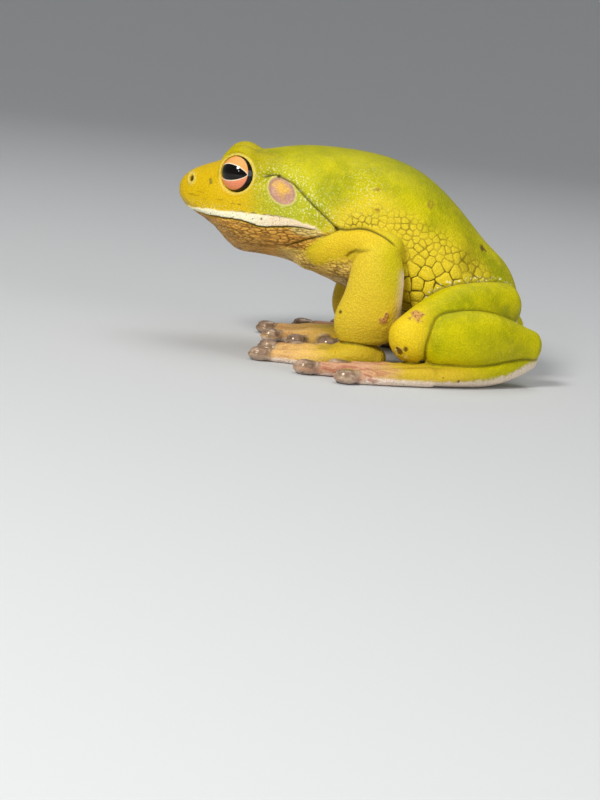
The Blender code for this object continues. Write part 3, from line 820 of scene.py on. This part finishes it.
def cobbles(skin, where, size):
    """The distance from each point to the groove between the two nearest cells of the cobbled skin."""
    chosen = np.flatnonzero(where > WEIGHT_CUT)
    order = np.random.default_rng(SEED).permutation(chosen)
    seeds, cells = [], {}
    for i in order:
        point, reach = skin.at[i], size[i]
        key = tuple((point // COBBLE_SIZES[0]).astype(int))
        around = (tuple(k + step - 1 for k, step in zip(key, way)) for way in np.ndindex(3, 3, 3))
        near = (cells.get(other, ()) for other in around)
        if all(np.sum((other - point) ** 2) > reach**2 for group in near for other in group):
            cells.setdefault(key, []).append(point)
            seeds.append(point)
    tree = tree_of(seeds)
    warp = np.stack([NOISE(skin.at + shift, 1.6) for shift in (0.0, 31.0, 67.0)], axis=1) * 0.35
    groove = np.full(skin.count, 9.0)
    for i in chosen:
        first, second = tree.find_n(skin.at[i] + warp[i], 2)
        groove[i] = second[2] - first[2]
    return groove


class Place:
    """Where the skin's points are: along the body, across it, out from its middle, and up."""

    def __init__(self, skin):
        self.x, self.y, self.z = skin.at.T.copy()
        self.out = np.abs(self.y)

    def on(self, side):
        """One at the points on that side of the body, and zero at the others."""
        return (np.sign(self.y) == side).astype(float)

    def side_gap(self, x, z, wide=1.0, tall=1.0):
        """Distance from a spot in the side view, in units of the two radii."""
        return np.hypot((self.x - x) / wide, (self.z - z) / tall)

    def top_gap(self, x, out, wide=1.0, deep=1.0):
        """Distance from a spot as seen from above, in units of the two radii."""
        return np.hypot((self.x - x) / wide, (self.out - out) / deep)


class Masks(dict):
    """Shares from 0 to 1 at the skin's points, by name, read and set as masks.name."""

    __getattr__ = dict.__getitem__
    __setattr__ = dict.__setitem__


def blend_forms(skin, shapes):
    """Smooths where forms meet. Returns each form's share of the points, with a crease between some,
    painted darker as shade.
    """
    shares = labelled(skin, shapes)
    at = Place(skin)
    x, out, z, radius = SHOULDER
    shoulder = bell(np.hypot(at.side_gap(x, z, 1.1), at.out - out), radius)
    x, out, z, radius = ELBOW
    elbow = bell(np.hypot(at.side_gap(x, z, 1.0, 0.8), at.out - out), radius) * ramp(at.x, 1.0, 5.0)
    x, out, _ = LID_CENTRE
    lid_base = bell(at.top_gap(x + 6.5, out - 1.0, 1.0, 1.2), 5.0) * ramp(at.z, 51.0, 54.0)
    # Rounds of smoothing are counted for points half a millimetre apart
    rounds = (0.5 / VOXEL) ** 2
    skin.smooth(unit(0.55 + shoulder), round(8 * rounds))
    skin.smooth(unit(shoulder * 1.3), round(90 * rounds))
    skin.smooth(elbow, round(30 * rounds))
    skin.smooth(lid_base, round(40 * rounds))
    mask = Masks()
    for name, value in shares.items():
        for _ in range(round(26 * rounds)):
            value = skin.spread(value)
        mask[name] = value
    mask.body = mask.trunk + mask.lid
    # Where forms meet, the skin is pushed in, and the same crease is painted darker as shade
    crease = np.zeros(skin.count)
    for first, second, depth in CREASED:
        a, b = mask[first], mask[second]
        meet = ramp(a + b, 0.55, 0.85) * ramp(np.minimum(a, b), 0.12, 0.3)
        crease = np.maximum(crease, depth * bell(a - b, CREASE_WIDTH) * meet)
    crease *= 1.0 - 0.9 * shoulder
    crease *= 1.0 - bell(at.side_gap(8.0, 34.0), 5.0) * ramp(at.out, 14.0, 18.0)
    skin.push(-0.4 * crease)
    mask.crease = 0.9 * crease
    return mask


def carve_lips(skin, at, mask):
    """The pale upper lip, the mouth's line under it and the pale corner behind it."""
    uneven = NOISE(skin.at, 1.1, 2)
    mouth, top = height_on(MOUTH, at.x) + 0.16 * uneven, height_on(LIP_TOP, at.x) + 0.3 * uneven
    flesh = ramp(mask.body, 0.4, 0.7)
    head = ramp(at.x, -12.5, -15.0) * flesh
    mask.lip = window(at.z, mouth - 0.05, mouth + 0.25, top - 0.25, top + 0.15) * head
    mask.lip_rear = mask.lip * ramp(at.x, -34.0, -24.0)
    skin.push(0.42 * mask.lip - 0.45 * bell(at.z - mouth + 0.15, 0.3) * head)
    mask.mouth = bell(at.z - mouth + 0.12, 0.28) * head * ramp(at.x, -13.0, -17.0)
    edge = bell(at.z - top - 0.05, 0.16) * head * ramp(uneven, -0.3, 0.2)
    mask.lip_edge = edge * window(at.x, -40.0, -34.0, -24.0, -18.0)
    gape = at.side_gap(*GAPE, *GAPE_RADII) + 0.4 * NOISE(skin.at, 1.6, 2)
    mask.gape = ramp(gape, 1.1, 0.6) * flesh
    skin.push(0.2 * mask.gape)


def carve_creases(skin, at, mask):
    """The fold over the ear, and the creases under the jaw, over the arm and inside the elbow, each with a
    line of painted shade.
    """
    on_side = ramp(mask.body, 0.3, 0.7) * ramp(at.out, 6.0, 9.0)
    fold, fold_at = to_line(at.x, at.z, FOLD)
    jaw, jaw_at = to_line(at.x, at.z, JAW_CREASE)
    arm, arm_at = to_line(at.x, at.z, ARM_CREASE)
    bend, bend_at = to_line(at.x, at.z, ELBOW_CREASE)
    fold_share = ramp(fold_at, 0.0, 0.12) * on_side
    jaw_share = ramp(jaw_at, 1.0, 0.6) * on_side
    arm_share = ramp(arm_at, 1.0, 0.85) * ramp(at.out, 10.0, 14.0)
    bend_share = ramp(bend_at, 1.0, 0.5) * ramp(at.out, 16.0, 20.0)
    above_fold = at.z > height_on(FOLD, at.x)
    skin.push(
        (0.55 * bell(fold - 1.3, 1.2) * above_fold - 0.55 * bell(fold, 0.45)) * fold_share
        - 0.6 * bell(jaw, 0.5) * jaw_share
        - 0.5 * bell(arm, 0.5) * arm_share
        - 0.5 * bell(bend, 0.5) * bend_share
    )
    # Lines of painted shade along the fold and the creases
    lines = bell(fold, 0.26) * fold_share + bell(jaw, 0.3) * jaw_share
    lines += bell(arm, 0.28) * arm_share + 0.6 * bell(bend, 0.4) * bend_share
    mask.crease = unit(mask.crease + lines)


def carve_ear(skin, at, mask):
    """A sunken oval with a raised rim and a mottled middle."""
    slant = math.radians(EAR_SLANT)
    ahead, up = at.x - EAR_CENTRE[0], at.z - EAR_CENTRE[1]
    along = ahead * math.cos(slant) - up * math.sin(slant)
    over = ahead * math.sin(slant) + up * math.cos(slant)
    wide, tall = EAR_RADII
    ring = np.hypot(along / wide, over / tall)
    ear = ramp(mask.body, 0.3, 0.7) * ramp(at.out, 6.0, 9.0)
    skin.push((0.3 * bell(ring - 1.08, 0.1) + 0.15 * bell(ring, 0.45) - 0.35 * ramp(ring, 1.0, 0.8)) * ear)
    mask.ear = ramp(ring, 1.04, 0.98) * ear
    mask.ear_rim = bell(ring - 1.07, 0.07) * ear
    middle = np.hypot((along + 0.5) / wide, (over - 0.3) / tall) + 0.4 * NOISE(skin.at, 1.0, 2)
    mask.ear_middle = ramp(middle, 0.85, 0.2) * ear


def carve_nostrils(skin, at, mask):
    pit = at.side_gap(*NOSTRIL, *NOSTRIL_RADII)
    front = ramp(at.x, -44.0, -47.0)
    skin.push((0.28 * bell(pit - 1.7, 0.6) - 1.1 * ramp(pit, 1.1, 0.3)) * front)
    mask.nostril = ramp(pit, 1.15, 0.75) * front
    mask.nostril_rim = bell(pit - 1.7, 0.5) * front


def digits(side):
    """Every finger and toe of one side, with the size of its pad."""
    toes = [(moved(line, LEG_FORWARD[side]), TOE_PAD) for line in TOES]
    return [(line, FINGER_PAD) for line in FINGERS] + toes


def carve_digits(skin, at, mask):
    """A groove round the top of each pad, swollen knuckles, and furrows between the toes, with painted
    shade in the grooves and furrows.
    """
    foot = unit(mask.sole + mask.toe + mask.toe_web)
    for side in SIDES:
        here = at.on(side)
        top_side = window(at.z, 1.6, 2.4, 5.0, 6.0) * here
        for (_, knuckle, tip), size in digits(side):
            gap = at.top_gap(*tip, *size[:2])
            skin.push((0.3 * bell(gap - 0.35, 0.4) - 0.3 * bell(gap - 0.88, 0.12)) * top_side)
            swollen = bell(at.top_gap(*knuckle), 1.8) * window(at.z, 2.4, 3.4, 6.5, 7.5)
            skin.push(0.25 * swollen * here)
            behind = top_side * ramp(gap, 2.0, 1.5)
            # Painted shade in the groove behind each pad
            mask.crease = np.maximum(mask.crease, 0.4 * bell(gap - 1.0, 0.09) * behind)
        for line in TOE_FURROWS:
            gap, reach = to_line(at.x, at.out, moved(line, LEG_FORWARD[side]))
            found = ramp(reach, 1.0, 0.7) * window(at.z, 0.4, 1.0, 6.0, 7.5) * foot * here
            skin.push(-0.9 * bell(gap, 0.65) * found)
            # Painted shade down each furrow
            mask.crease = np.maximum(mask.crease, 0.8 * bell(gap, 0.75) * found)


def open_eyes(skin, mask):
    """Sinks the skin behind each eyeball's front and seats the rim of the lids against the ball."""
    mask.rim = np.zeros(skin.count)
    for side in SIDES:
        inverse = np.array(eye_frame(side).inverted())
        across, above, sight = (skin.at @ inverse[:3, :3].T + inverse[:3, 3]).T
        reach = np.hypot(across, above + LID_DROP)
        near = (sight > 0.0) & (np.sign(skin.at[:, 1]) == side) & (reach < 8.0)
        off_axis = np.minimum(np.hypot(across, above), EYE_RADIUS)
        ball = np.sqrt(EYE_RADIUS**2 - off_axis**2)
        hole = ramp(reach, LID_OPENING + 0.15, LID_OPENING - 0.35) * near
        seat = bell(reach - LID_OPENING - 0.3, 1.0) * near * (1.0 - hole)
        wish = sight * (1.0 - hole) + (ball - 1.6) * hole
        wish += seat * (np.maximum(ball, 2.0) + 0.75 - sight) * 0.85
        skin.at += (wish - sight)[:, None] * np.array(eye_frame(side))[:3, 2]
        rim = bell(reach - LID_OPENING - LID_RIM, LID_RIM * 0.8) * near
        mask.rim = np.maximum(mask.rim, rim)


def carve_flank(skin, at, mask):
    """The cobbled skin of the flank, coarser low down, and a shallow hollow ahead of the hip, painted
    darker as shade.
    """
    line = np.interp(at.x, *zip(*FLANK_TOP))
    flank = window(at.x, -11.0, -3.0, 39.0, 45.0) * ramp(at.z, line + 3.0, line - 4.0)
    flank *= ramp(mask.body, 0.35, 0.65) * ramp(at.out, 8.0, 13.0)
    low = ramp(at.z, 38.0, 28.0) * window(at.x, -2.0, 12.0, 30.0, 40.0)
    largest, smallest = COBBLE_SIZES
    gap = cobbles(skin, flank, smallest + (largest - smallest) * low)
    dome = np.sqrt(unit(gap / (COBBLE_GROOVE * (0.6 + 0.4 * low) * 1.6)))
    skin.push((dome - 0.8) * COBBLE_RELIEF * flank * (0.35 + 0.65 * low))
    mask.gap = unit(gap / GAP_SPAN)
    worn = np.clip(0.8 + 0.9 * NOISE(skin.at + 60.0, 3.0, 2), 0.25, 1.0)
    mask.grooved = flank * unit(0.6 + 0.4 * flank * low + 0.3 * ramp(at.x, 6.0, -4.0)) * worn
    x, z, radius = HOLLOW
    # The hollow is pushed in and painted darker as shade
    mask.hollow = bell(at.side_gap(x, z, 0.55), radius) * mask.trunk * ramp(at.out, 5.0, 9.0)
    skin.push(-0.5 * mask.hollow)


def wrinkle_throat(skin, at, mask):
    """Fine folds along the throat and chest."""
    mouth = height_on(MOUTH, at.x)
    flesh = ramp(unit(mask.body + mask.breast), 0.3, 0.7)
    mask.throat = ramp(at.z, mouth + 0.2, mouth - 0.8) * ramp(at.x, 4.0, -4.0) * flesh
    # The chest's colour ends level with the jaw crease's front end, and ahead of that with its rear end
    rear, front = JAW_CREASE[0], JAW_CREASE[-1]
    top = np.where(at.x < front[0], rear[1], front[1])
    mask.chest = mask.throat * ramp(at.z, top + 0.2, top - 0.4) * ramp(at.x, -26.0, -20.0)
    bottom = np.interp(at.x, [row[0] for row in TRUNK], [row[2] for row in TRUNK])
    mask.belly = ramp(at.z - bottom, 8.0, 3.0) * ramp(at.x, -13.0, -5.0) * mask.trunk
    uneven = np.clip(0.75 + 0.7 * NOISE(skin.at + 90.0, 4.0, 2), 0.2, 1.0)
    lined = mask.throat * (0.8 - 0.4 * mask.chest) + 0.4 * mask.breast + 0.25 * mask.belly
    mask.wrinkled = unit(lined) * uneven
    skin.push(0.22 * NOISE(skin.at, (7.0, 1.3, 0.9), 2) * mask.throat)


def shape_skin(skin, shapes):
    """Moves the fused skin into its details and returns the masks that come from them."""
    mask = blend_forms(skin, shapes)
    at = Place(skin)
    for carve in (carve_lips, carve_creases, carve_ear, carve_nostrils, carve_digits):
        carve(skin, at, mask)
    open_eyes(skin, mask)
    at = Place(skin)
    carve_flank(skin, at, mask)
    wrinkle_throat(skin, at, mask)
    skin.at[:, 2] = np.maximum(skin.at[:, 2], 0.0)
    return mask


def store(skin, mask, names):
    """Puts the masks with these names on the mesh, where its material reads them."""
    for name in sorted(names):
        attribute = skin.mesh.attributes.new(f"m_{name}", "FLOAT", "POINT")
        attribute.data.foreach_set("value", unit(mask[name]).astype(np.float32))


def linear(colour):
    """A screen colour as the light it stands for."""
    share = [value / 255.0 for value in colour]
    return [s / 12.92 if s < 0.04045 else ((s + 0.055) / 1.055) ** 2.4 for s in share]


class Nodes:
    """Short calls for building a material's nodes, with the colour that has been painted so far."""

    def __init__(self, name):
        self.material = bpy.data.materials.new(name)
        self.material.use_nodes = True
        self.tree = self.material.node_tree
        self.masks = set()
        self.colour = None

    def put(self, socket, value):
        """Gives a socket another node's output, a screen colour, or a plain number or list."""
        if isinstance(value, bpy.types.NodeSocket):
            self.tree.links.new(value, socket)
        elif isinstance(value, tuple):
            socket.default_value = (*linear(value), 1.0)
        else:
            socket.default_value = value

    def add(self, kind, inputs=(), output=0, **settings):
        """One output of a new node, whose inputs are given with their names or numbers."""
        node = self.tree.nodes.new(f"ShaderNode{kind}")
        for key, value in settings.items():
            setattr(node, key, value)
        for key, value in inputs:
            self.put(node.inputs[key], value)
        return node.outputs[output]

    def surface(self, inputs):
        shader = self.tree.nodes["Principled BSDF"]
        for key, value in inputs.items():
            self.put(shader.inputs[key], value)
        return self.material

    def mask(self, name):
        self.masks.add(name)
        return self.add("Attribute", output="Fac", attribute_name=f"m_{name}")

    def math(self, operation, *values):
        return self.add("Math", enumerate(values), operation=operation)

    def times(self, *values):
        """The product of the values, where a word stands for the mask of that name."""
        first, *others = [self.mask(value) if isinstance(value, str) else value for value in values]
        for value in others:
            first = self.math("MULTIPLY", first, value)
        return first

    def mix(self, share, first, second):
        inputs = ((0, share), (6, first), (7, second))
        return self.add("Mix", inputs, 2, data_type="RGBA")

    def paint(self, tint, *shares):
        """Lays a colour over the present one, as far as the product of the shares says."""
        self.colour = self.mix(self.times(*shares), self.colour, tint)

    def place(self, scale):
        """The object's own coordinates, in millimetres, stretched by scale."""
        source = self.add("TexCoord", output="Object")
        inputs = (("Vector", source), ("Scale", [value / MM for value in scale]))
        return self.add("Mapping", inputs)

    def noise(self, size, detail=2.0, scale=(1.0, 1.0, 1.0)):
        inputs = (("Vector", self.place(scale)), ("Scale", 1.0 / size), ("Detail", detail))
        return self.add("TexNoise", inputs, "Fac")

    def cells(self, size, feature="F1", scale=(1.0, 1.0, 1.0)):
        inputs = (("Vector", self.place(scale)), ("Scale", 1.0 / size))
        return self.add("TexVoronoi", inputs, "Distance", feature=feature)

    def span(self, value, low, high, to_low=0.0, to_high=1.0):
        inputs = enumerate((value, low, high, to_low, to_high))
        return self.add("MapRange", inputs, interpolation_type="SMOOTHSTEP")

    def bump(self, height, distance, strength, normal=None):
        inputs = [("Strength", strength), ("Distance", distance * MM), ("Height", height)]
        if normal is not None:
            inputs.append(("Normal", normal))
        return self.add("Bump", inputs)


def skin_material():
    """Grained, moist skin whose colours follow the masks stored on the mesh."""
    n = Nodes("frog_skin")
    fine, grain, blotch = n.noise(2.4, 3.0), n.cells(0.52), n.noise(2.6)
    rows = n.cells(0.95, "DISTANCE_TO_EDGE", (0.36, 1.0, 1.0))
    folds, streaks = n.noise(2.2, scale=(0.25, 1.0, 1.6)), n.noise(0.9, scale=(0.16, 1.0, 1.0))
    n.colour = n.mix(n.span(n.noise(13.0, 3.0), 0.36, 0.62), GREEN, LIME)
    n.paint(SUN_LIME, n.span(fine, 0.45, 0.7), 0.45)
    for name, tint, strength in REGIONS:
        n.paint(tint, name, strength)
    n.paint(THROAT_LINE, n.span(folds, 0.5, 0.66), 0.42, "throat")
    n.paint(PAD_PALE, n.span(blotch, 0.5, 0.62), 0.65, "pad")
    n.paint(PAD_DARK, n.span(blotch, 0.46, 0.36), 0.6, "pad")
    n.paint(TOE_RED, n.span(streaks, 0.48, 0.62), "toe_red")
    n.paint(SCUFF_BROWN, n.span(n.noise(0.55), 0.66, 0.72), n.math("ADD", n.mask("lip"), n.mask("fringe")))
    n.paint(CREAM, n.span(n.cells(0.9), 0.42, 0.3), "beaded", 0.8)
    # Pale specks, which on the shoulder are painted highlight glints
    n.paint(SPECK_AND_GLINT_PALE, n.span(n.noise(0.56, 1.0), 0.54, 0.64), "speckled")
    shade = n.span(grain, 0.12, 0.6, 1.06, 0.86)
    n.colour = n.add("VectorMath", ((0, n.colour), ("Scale", shade)), operation="SCALE")
    n.paint(THROAT_LINE, n.span(rows, 0.16, 0.02), "wrinkled")
    n.paint(GROOVE_BROWN, n.span(n.mask("gap"), 0.36, 0.1), "grooved")
    # Marks over the regions, among them a painted highlight streak and painted shade in the creases
    for name, tint in DETAILS:
        n.paint(tint, name, 0.9)
    n.paint(SCUFF_BROWN, n.span(n.noise(0.7), 0.5, 0.62), "scab", 0.7)
    wet = n.math("MAXIMUM", n.mask("pad"), n.times("ear", 0.5))
    dull = n.math("SUBTRACT", 1.0, n.times(wet, 0.8))
    normal = n.bump(fine, 0.4, 0.4)
    normal = n.bump(n.times(n.span(rows, 0.0, 0.22), "wrinkled"), 0.35, 0.7, normal)
    normal = n.bump(n.times(grain, dull), -0.2, 0.8, normal)
    n.surface({
        "Base Color": n.colour,
        "Roughness": n.math("SUBTRACT", n.span(n.noise(2.2), 0.3, 0.7, 0.38, 0.55), n.times(wet, 0.2)),
        "Coat Weight": n.times("pad", 0.6),
        "Coat Roughness": 0.14,
        "Specular IOR Level": 0.22,
        "Specular Tint": [1.0, 0.98, 0.4, 1.0],
        "Subsurface Weight": 0.08,
        "Subsurface Radius": [0.5, 0.35, 0.1],
        "Subsurface Scale": 0.002,
        "Normal": normal,
    })
    return n.material, n.masks


def head_masks(at, mask, noise):
    """The yellow snout, the lime brow, the pale specks round the ear, and painted highlight as pale glints
    on the shoulder.
    """
    above_eye = ramp(at.z + 0.35 * at.x, 37.0, 41.0)
    snout = ramp(at.x + 0.12 * (at.z - 45.0) + 2.5 * noise, -25.0, -37.0) * mask.body
    mask.snout = snout * (1.0 - 0.75 * above_eye)
    mask.brow = mask.lid * above_eye
    cheek = bell(np.hypot(at.x + 21.0, (at.z - 43.5) * 1.1), 8.5) * mask.body
    mask.cheek = cheek * ramp(at.out, 7.0, 12.0)
    near_fold = bell(to_line(at.x, at.z, FOLD)[0], 3.0) * ramp(at.out, 9.0, 13.0) * mask.body
    off_ear = 1.0 - unit(mask.ear + mask.ear_rim)
    specks = 0.6 * mask.cheek + 0.6 * near_fold + 0.3 * mask.snout * ramp(at.z, 42.0, 39.0)
    # On the shoulder the specks are painted highlight: small glints of light on the wet skin
    shoulder = bell(at.side_gap(-1.5, 49.0, 0.8), 7.0) * ramp(at.out, 8.0, 12.0)
    mask.speckled = unit(off_ear * specks + 0.45 * shoulder)


def trunk_masks(at, mask, noise):
    """The green ridge of the back, the yellow side, and beads of skin along the thigh."""
    ridge = ramp(at.out + 3.0 * noise, 13.0, 6.0) * ramp(at.z, 44.0, 50.0) * ramp(at.x, -30.0, -20.0)
    mask.ridge = ridge * mask.trunk
    line = np.interp(at.x, *zip(*YELLOW_TOP))
    flesh = unit(mask.body + mask.upper_arm + mask.forearm)
    yellow = ramp(at.z + 3.0 * noise, line + 5.0, line - 6.0) * ramp(at.out, 9.0, 14.0) * flesh
    mask.flank_yellow = yellow * window(at.x, -16.0, -6.0, 34.0, 46.0)
    edge = bell(mask.trunk - mask.thigh - 0.45, 0.3) * ramp(mask.thigh, 0.1, 0.2)
    mask.beaded = edge * ramp(at.z, 20.0, 24.0)


def arm_masks(at, mask, noise):
    """The yellow upper arm, the gold forearm and the lime of the elbow."""
    top = height_on(ARM_CREASE, at.x)
    around = mask.upper_arm + 0.4 * mask.breast + 0.7 * mask.chest * ramp(at.z, 26.0, 33.0)
    mask.arm = unit(around) * ramp(at.z, top + 1.0, top - 1.0)
    mask.forearm_gold = unit(mask.forearm * (0.85 + 0.3 * noise))
    elbow = bell(at.side_gap(8.4, 31.5, 0.7, 1.4) + 2.0 * noise, 6.5)
    mask.elbow_lime = elbow * unit(mask.upper_arm + mask.forearm)


def leg_masks(skin, at, mask, noise, ragged):
    """The knee, the pads, the pale fringes of forearm and foot, and the skin of hands and feet."""
    knee, fringe, pad = np.zeros((3, skin.count))
    for side in SIDES:
        here, forward = at.on(side), LEG_FORWARD[side]
        share, _, _ = limb_place(skin.at, moved(THIGH, forward), UP, side)
        knee = np.maximum(knee, ramp(share, 0.62, 0.98) * mask.thigh * here)
        share, wide, tall = limb_place(skin.at, moved(FOREARM, ELBOW_FORWARD[side], 0.0), AHEAD, side)
        rear = bell(wide - 0.2, 0.3) * ramp(tall, 0.6, 0.8) * mask.forearm * here
        fringe = np.maximum(fringe, rear * window(share, 0.12, 0.25, 0.8, 0.9))
        _, wide, tall = limb_place(skin.at, moved(SOLE, forward), UP, side)
        under = ramp(tall + 0.15 * ragged, -0.1, -0.4) * ramp(wide, 0.1, 0.4)
        fringe = np.maximum(fringe, under * mask.sole * here)
        for (_, _, tip), size in digits(side):
            gap = at.top_gap(*tip) + 0.9 * noise
            pad = np.maximum(pad, ramp(gap, size[0] + 1.1, size[0] - 0.9) * here)
    mask.knee = knee
    mask.pad = pad * ramp(at.z, 5.2, 4.6) * ramp(mask.toe + mask.finger, 0.3, 0.6)
    last_toe = ramp(at.z + 0.3 * ragged, 2.7, 1.7) * ramp(at.out, 33.0, 36.0) * ramp(at.x, 2.0, 8.0)
    palm_edge = ramp(at.z + 0.5 * ragged, 1.9, 1.2) * (mask.palm + 0.8 * mask.finger)
    limb_ends = unit(mask.sole + mask.palm + mask.toe + mask.finger + mask.toe_web + mask.finger_web)
    pale = fringe + last_toe * mask.toe + 0.8 * palm_edge + 0.85 * ramp(at.z, 1.5, 0.7) * limb_ends
    mask.fringe = unit(pale) * (1.0 - 0.8 * mask.pad)
    toes = mask.toe * ramp(at.x + 4.0 * noise, 16.0, 4.0) + mask.toe_web * 0.5
    mask.toe_skin = unit(toes + 0.45 * mask.finger * ramp(at.x, -8.0, -20.0))
    mask.toe_red = 0.7 * mask.toe_skin * (1.0 - mask.pad)
    mask.finger_skin = unit(mask.finger * ramp(at.x + 3.0 * noise, -3.0, -12.0))
    mask.foot_skin = unit(mask.sole * ramp(at.x, 44.0, 26.0) + mask.palm + mask.toe + mask.finger)
    mask.shank_sun = mask.shank * unit(0.35 + 0.4 * ramp(at.z, 12.0, 6.0) + 0.6 * noise)
    mask.web = unit(mask.toe_web + 0.6 * mask.finger_web)


def mark_masks(skin, at, mask, ragged):
    """Scabs, scuffs, spots and fine lines on the near side, each on the part nearest the camera there."""
    for kind, (edge, strength, flatness, broken, marks) in MARKS.items():
        mask[kind] = np.zeros(skin.count)
        for x, z, radius, longer in marks:
            around = (at.side_gap(x, z) < MARK_SEARCH) & (at.y < 0.0)
            depth = (at.out - at.out[around].max()) * flatness
            gap = np.hypot(at.side_gap(x, z, longer), depth) + edge * ragged * radius
            found = strength * ramp(gap, radius * 1.25, radius * 0.75) * at.on(-1.0)
            if broken:
                found *= ramp(ragged, -0.25, 0.25)
            mask[kind] = np.maximum(mask[kind], found)
    skin.push(0.3 * mask.scab * (1.0 + ragged) - 0.15 * mask.scuff)


def colour_masks(skin, mask):
    """Masks that only colour: the regions of the body, the fringes, the pads and the small marks."""
    at = Place(skin)
    noise = NOISE(skin.at, 6.0, 2)
    ragged = NOISE(skin.at + 40.0, 1.1, 2)
    for region in (head_masks, trunk_masks, arm_masks):
        region(at, mask, noise)
    leg_masks(skin, at, mask, noise, ragged)
    mark_masks(skin, at, mask, ragged)


def eyeball_material():
    """A wet eye: gold above and salmon below, a level pupil with a pointed rear, dark outside the iris."""
    n = Nodes("frog_eye")
    spot = n.add("Attribute", output="Vector", attribute_name="eye_place")
    ahead, above = (n.add("SeparateXYZ", ((0, spot),), axis) for axis in (0, 1))
    radius = n.math("SQRT", n.math("ADD", n.times(ahead, ahead), n.times(above, above)))
    n.colour = n.mix(n.span(above, -0.2, 0.2), IRIS_SALMON, IRIS_GOLD)
    n.paint(IRIS_STREAK, n.span(n.noise(0.35, 3.0), 0.45, 0.7), 0.4)
    length = PUPIL_FRONT - PUPIL_REAR
    share = n.math("DIVIDE", n.math("SUBTRACT", ahead, PUPIL_REAR), length)
    beyond = n.math("MAXIMUM", n.times(share, -1.0), n.math("SUBTRACT", share, 1.0))
    inside = n.math("MINIMUM", n.math("MAXIMUM", share, 0.0), 1.0)
    rear = n.math("POWER", inside, 0.7)
    front = n.math("SQRT", n.math("SUBTRACT", 1.0, inside))
    tall = n.times(rear, front, PUPIL_TALL * PUPIL_SWELL)
    edge = n.math("MAXIMUM", n.math("SUBTRACT", n.math("ABSOLUTE", above), tall), n.times(beyond, length))
    n.paint(PUPIL_RING, n.span(edge, 0.08, 0.04))
    n.paint(NEAR_BLACK, n.span(edge, 0.02, -0.01))
    n.paint(NEAR_BLACK, n.span(radius, 0.97, 1.02))
    return n.surface({"Base Color": n.colour, "Roughness": 0.06, "Specular IOR Level": 0.35})


def make_eyes():
    """Two wet balls, each point of which knows where it lies across the iris."""
    material = eyeball_material()
    for label, side in (("left", -1.0), ("right", 1.0)):
        body = bmesh.new()
        bmesh.ops.create_uvsphere(body, u_segments=96, v_segments=64, radius=EYE_RADIUS)
        mesh = bpy.data.meshes.new(f"eyeball_{label}")
        body.to_mesh(mesh)
        body.free()
        at = read(mesh.vertices, "co")
        place = (at * (side, 1.0, 1.0) - (*IRIS_SHIFT, 0.0)) / IRIS_RADIUS
        place[at[:, 2] < 0.0, :2] = BEHIND_EYE
        attribute = mesh.attributes.new("eye_place", "FLOAT_VECTOR", "POINT")
        attribute.data.foreach_set("vector", place.astype(np.float32).ravel())
        mesh.transform(Matrix.Scale(MM, 4) @ eye_frame(side))
        mesh.shade_smooth()
        mesh.materials.append(material)
        ball = added(f"eyeball_{label}", mesh)
        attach(ball, "root")
        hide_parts(f"eye_{label}")


def make_skin():
    shapes = body_shapes()
    obj = fused(shapes.mesh("skin"))
    skin = Skin(obj.data)
    mask = shape_skin(skin, shapes)
    colour_masks(skin, mask)
    skin.write()
    material, names = skin_material()
    store(skin, mask, names)
    obj.data.shade_smooth()
    obj.data.materials.append(material)
    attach(obj, "root")
    flesh = [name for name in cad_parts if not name.startswith("eye_")]
    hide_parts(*flesh)


camera()
studio()
make_skin()
make_eyes()
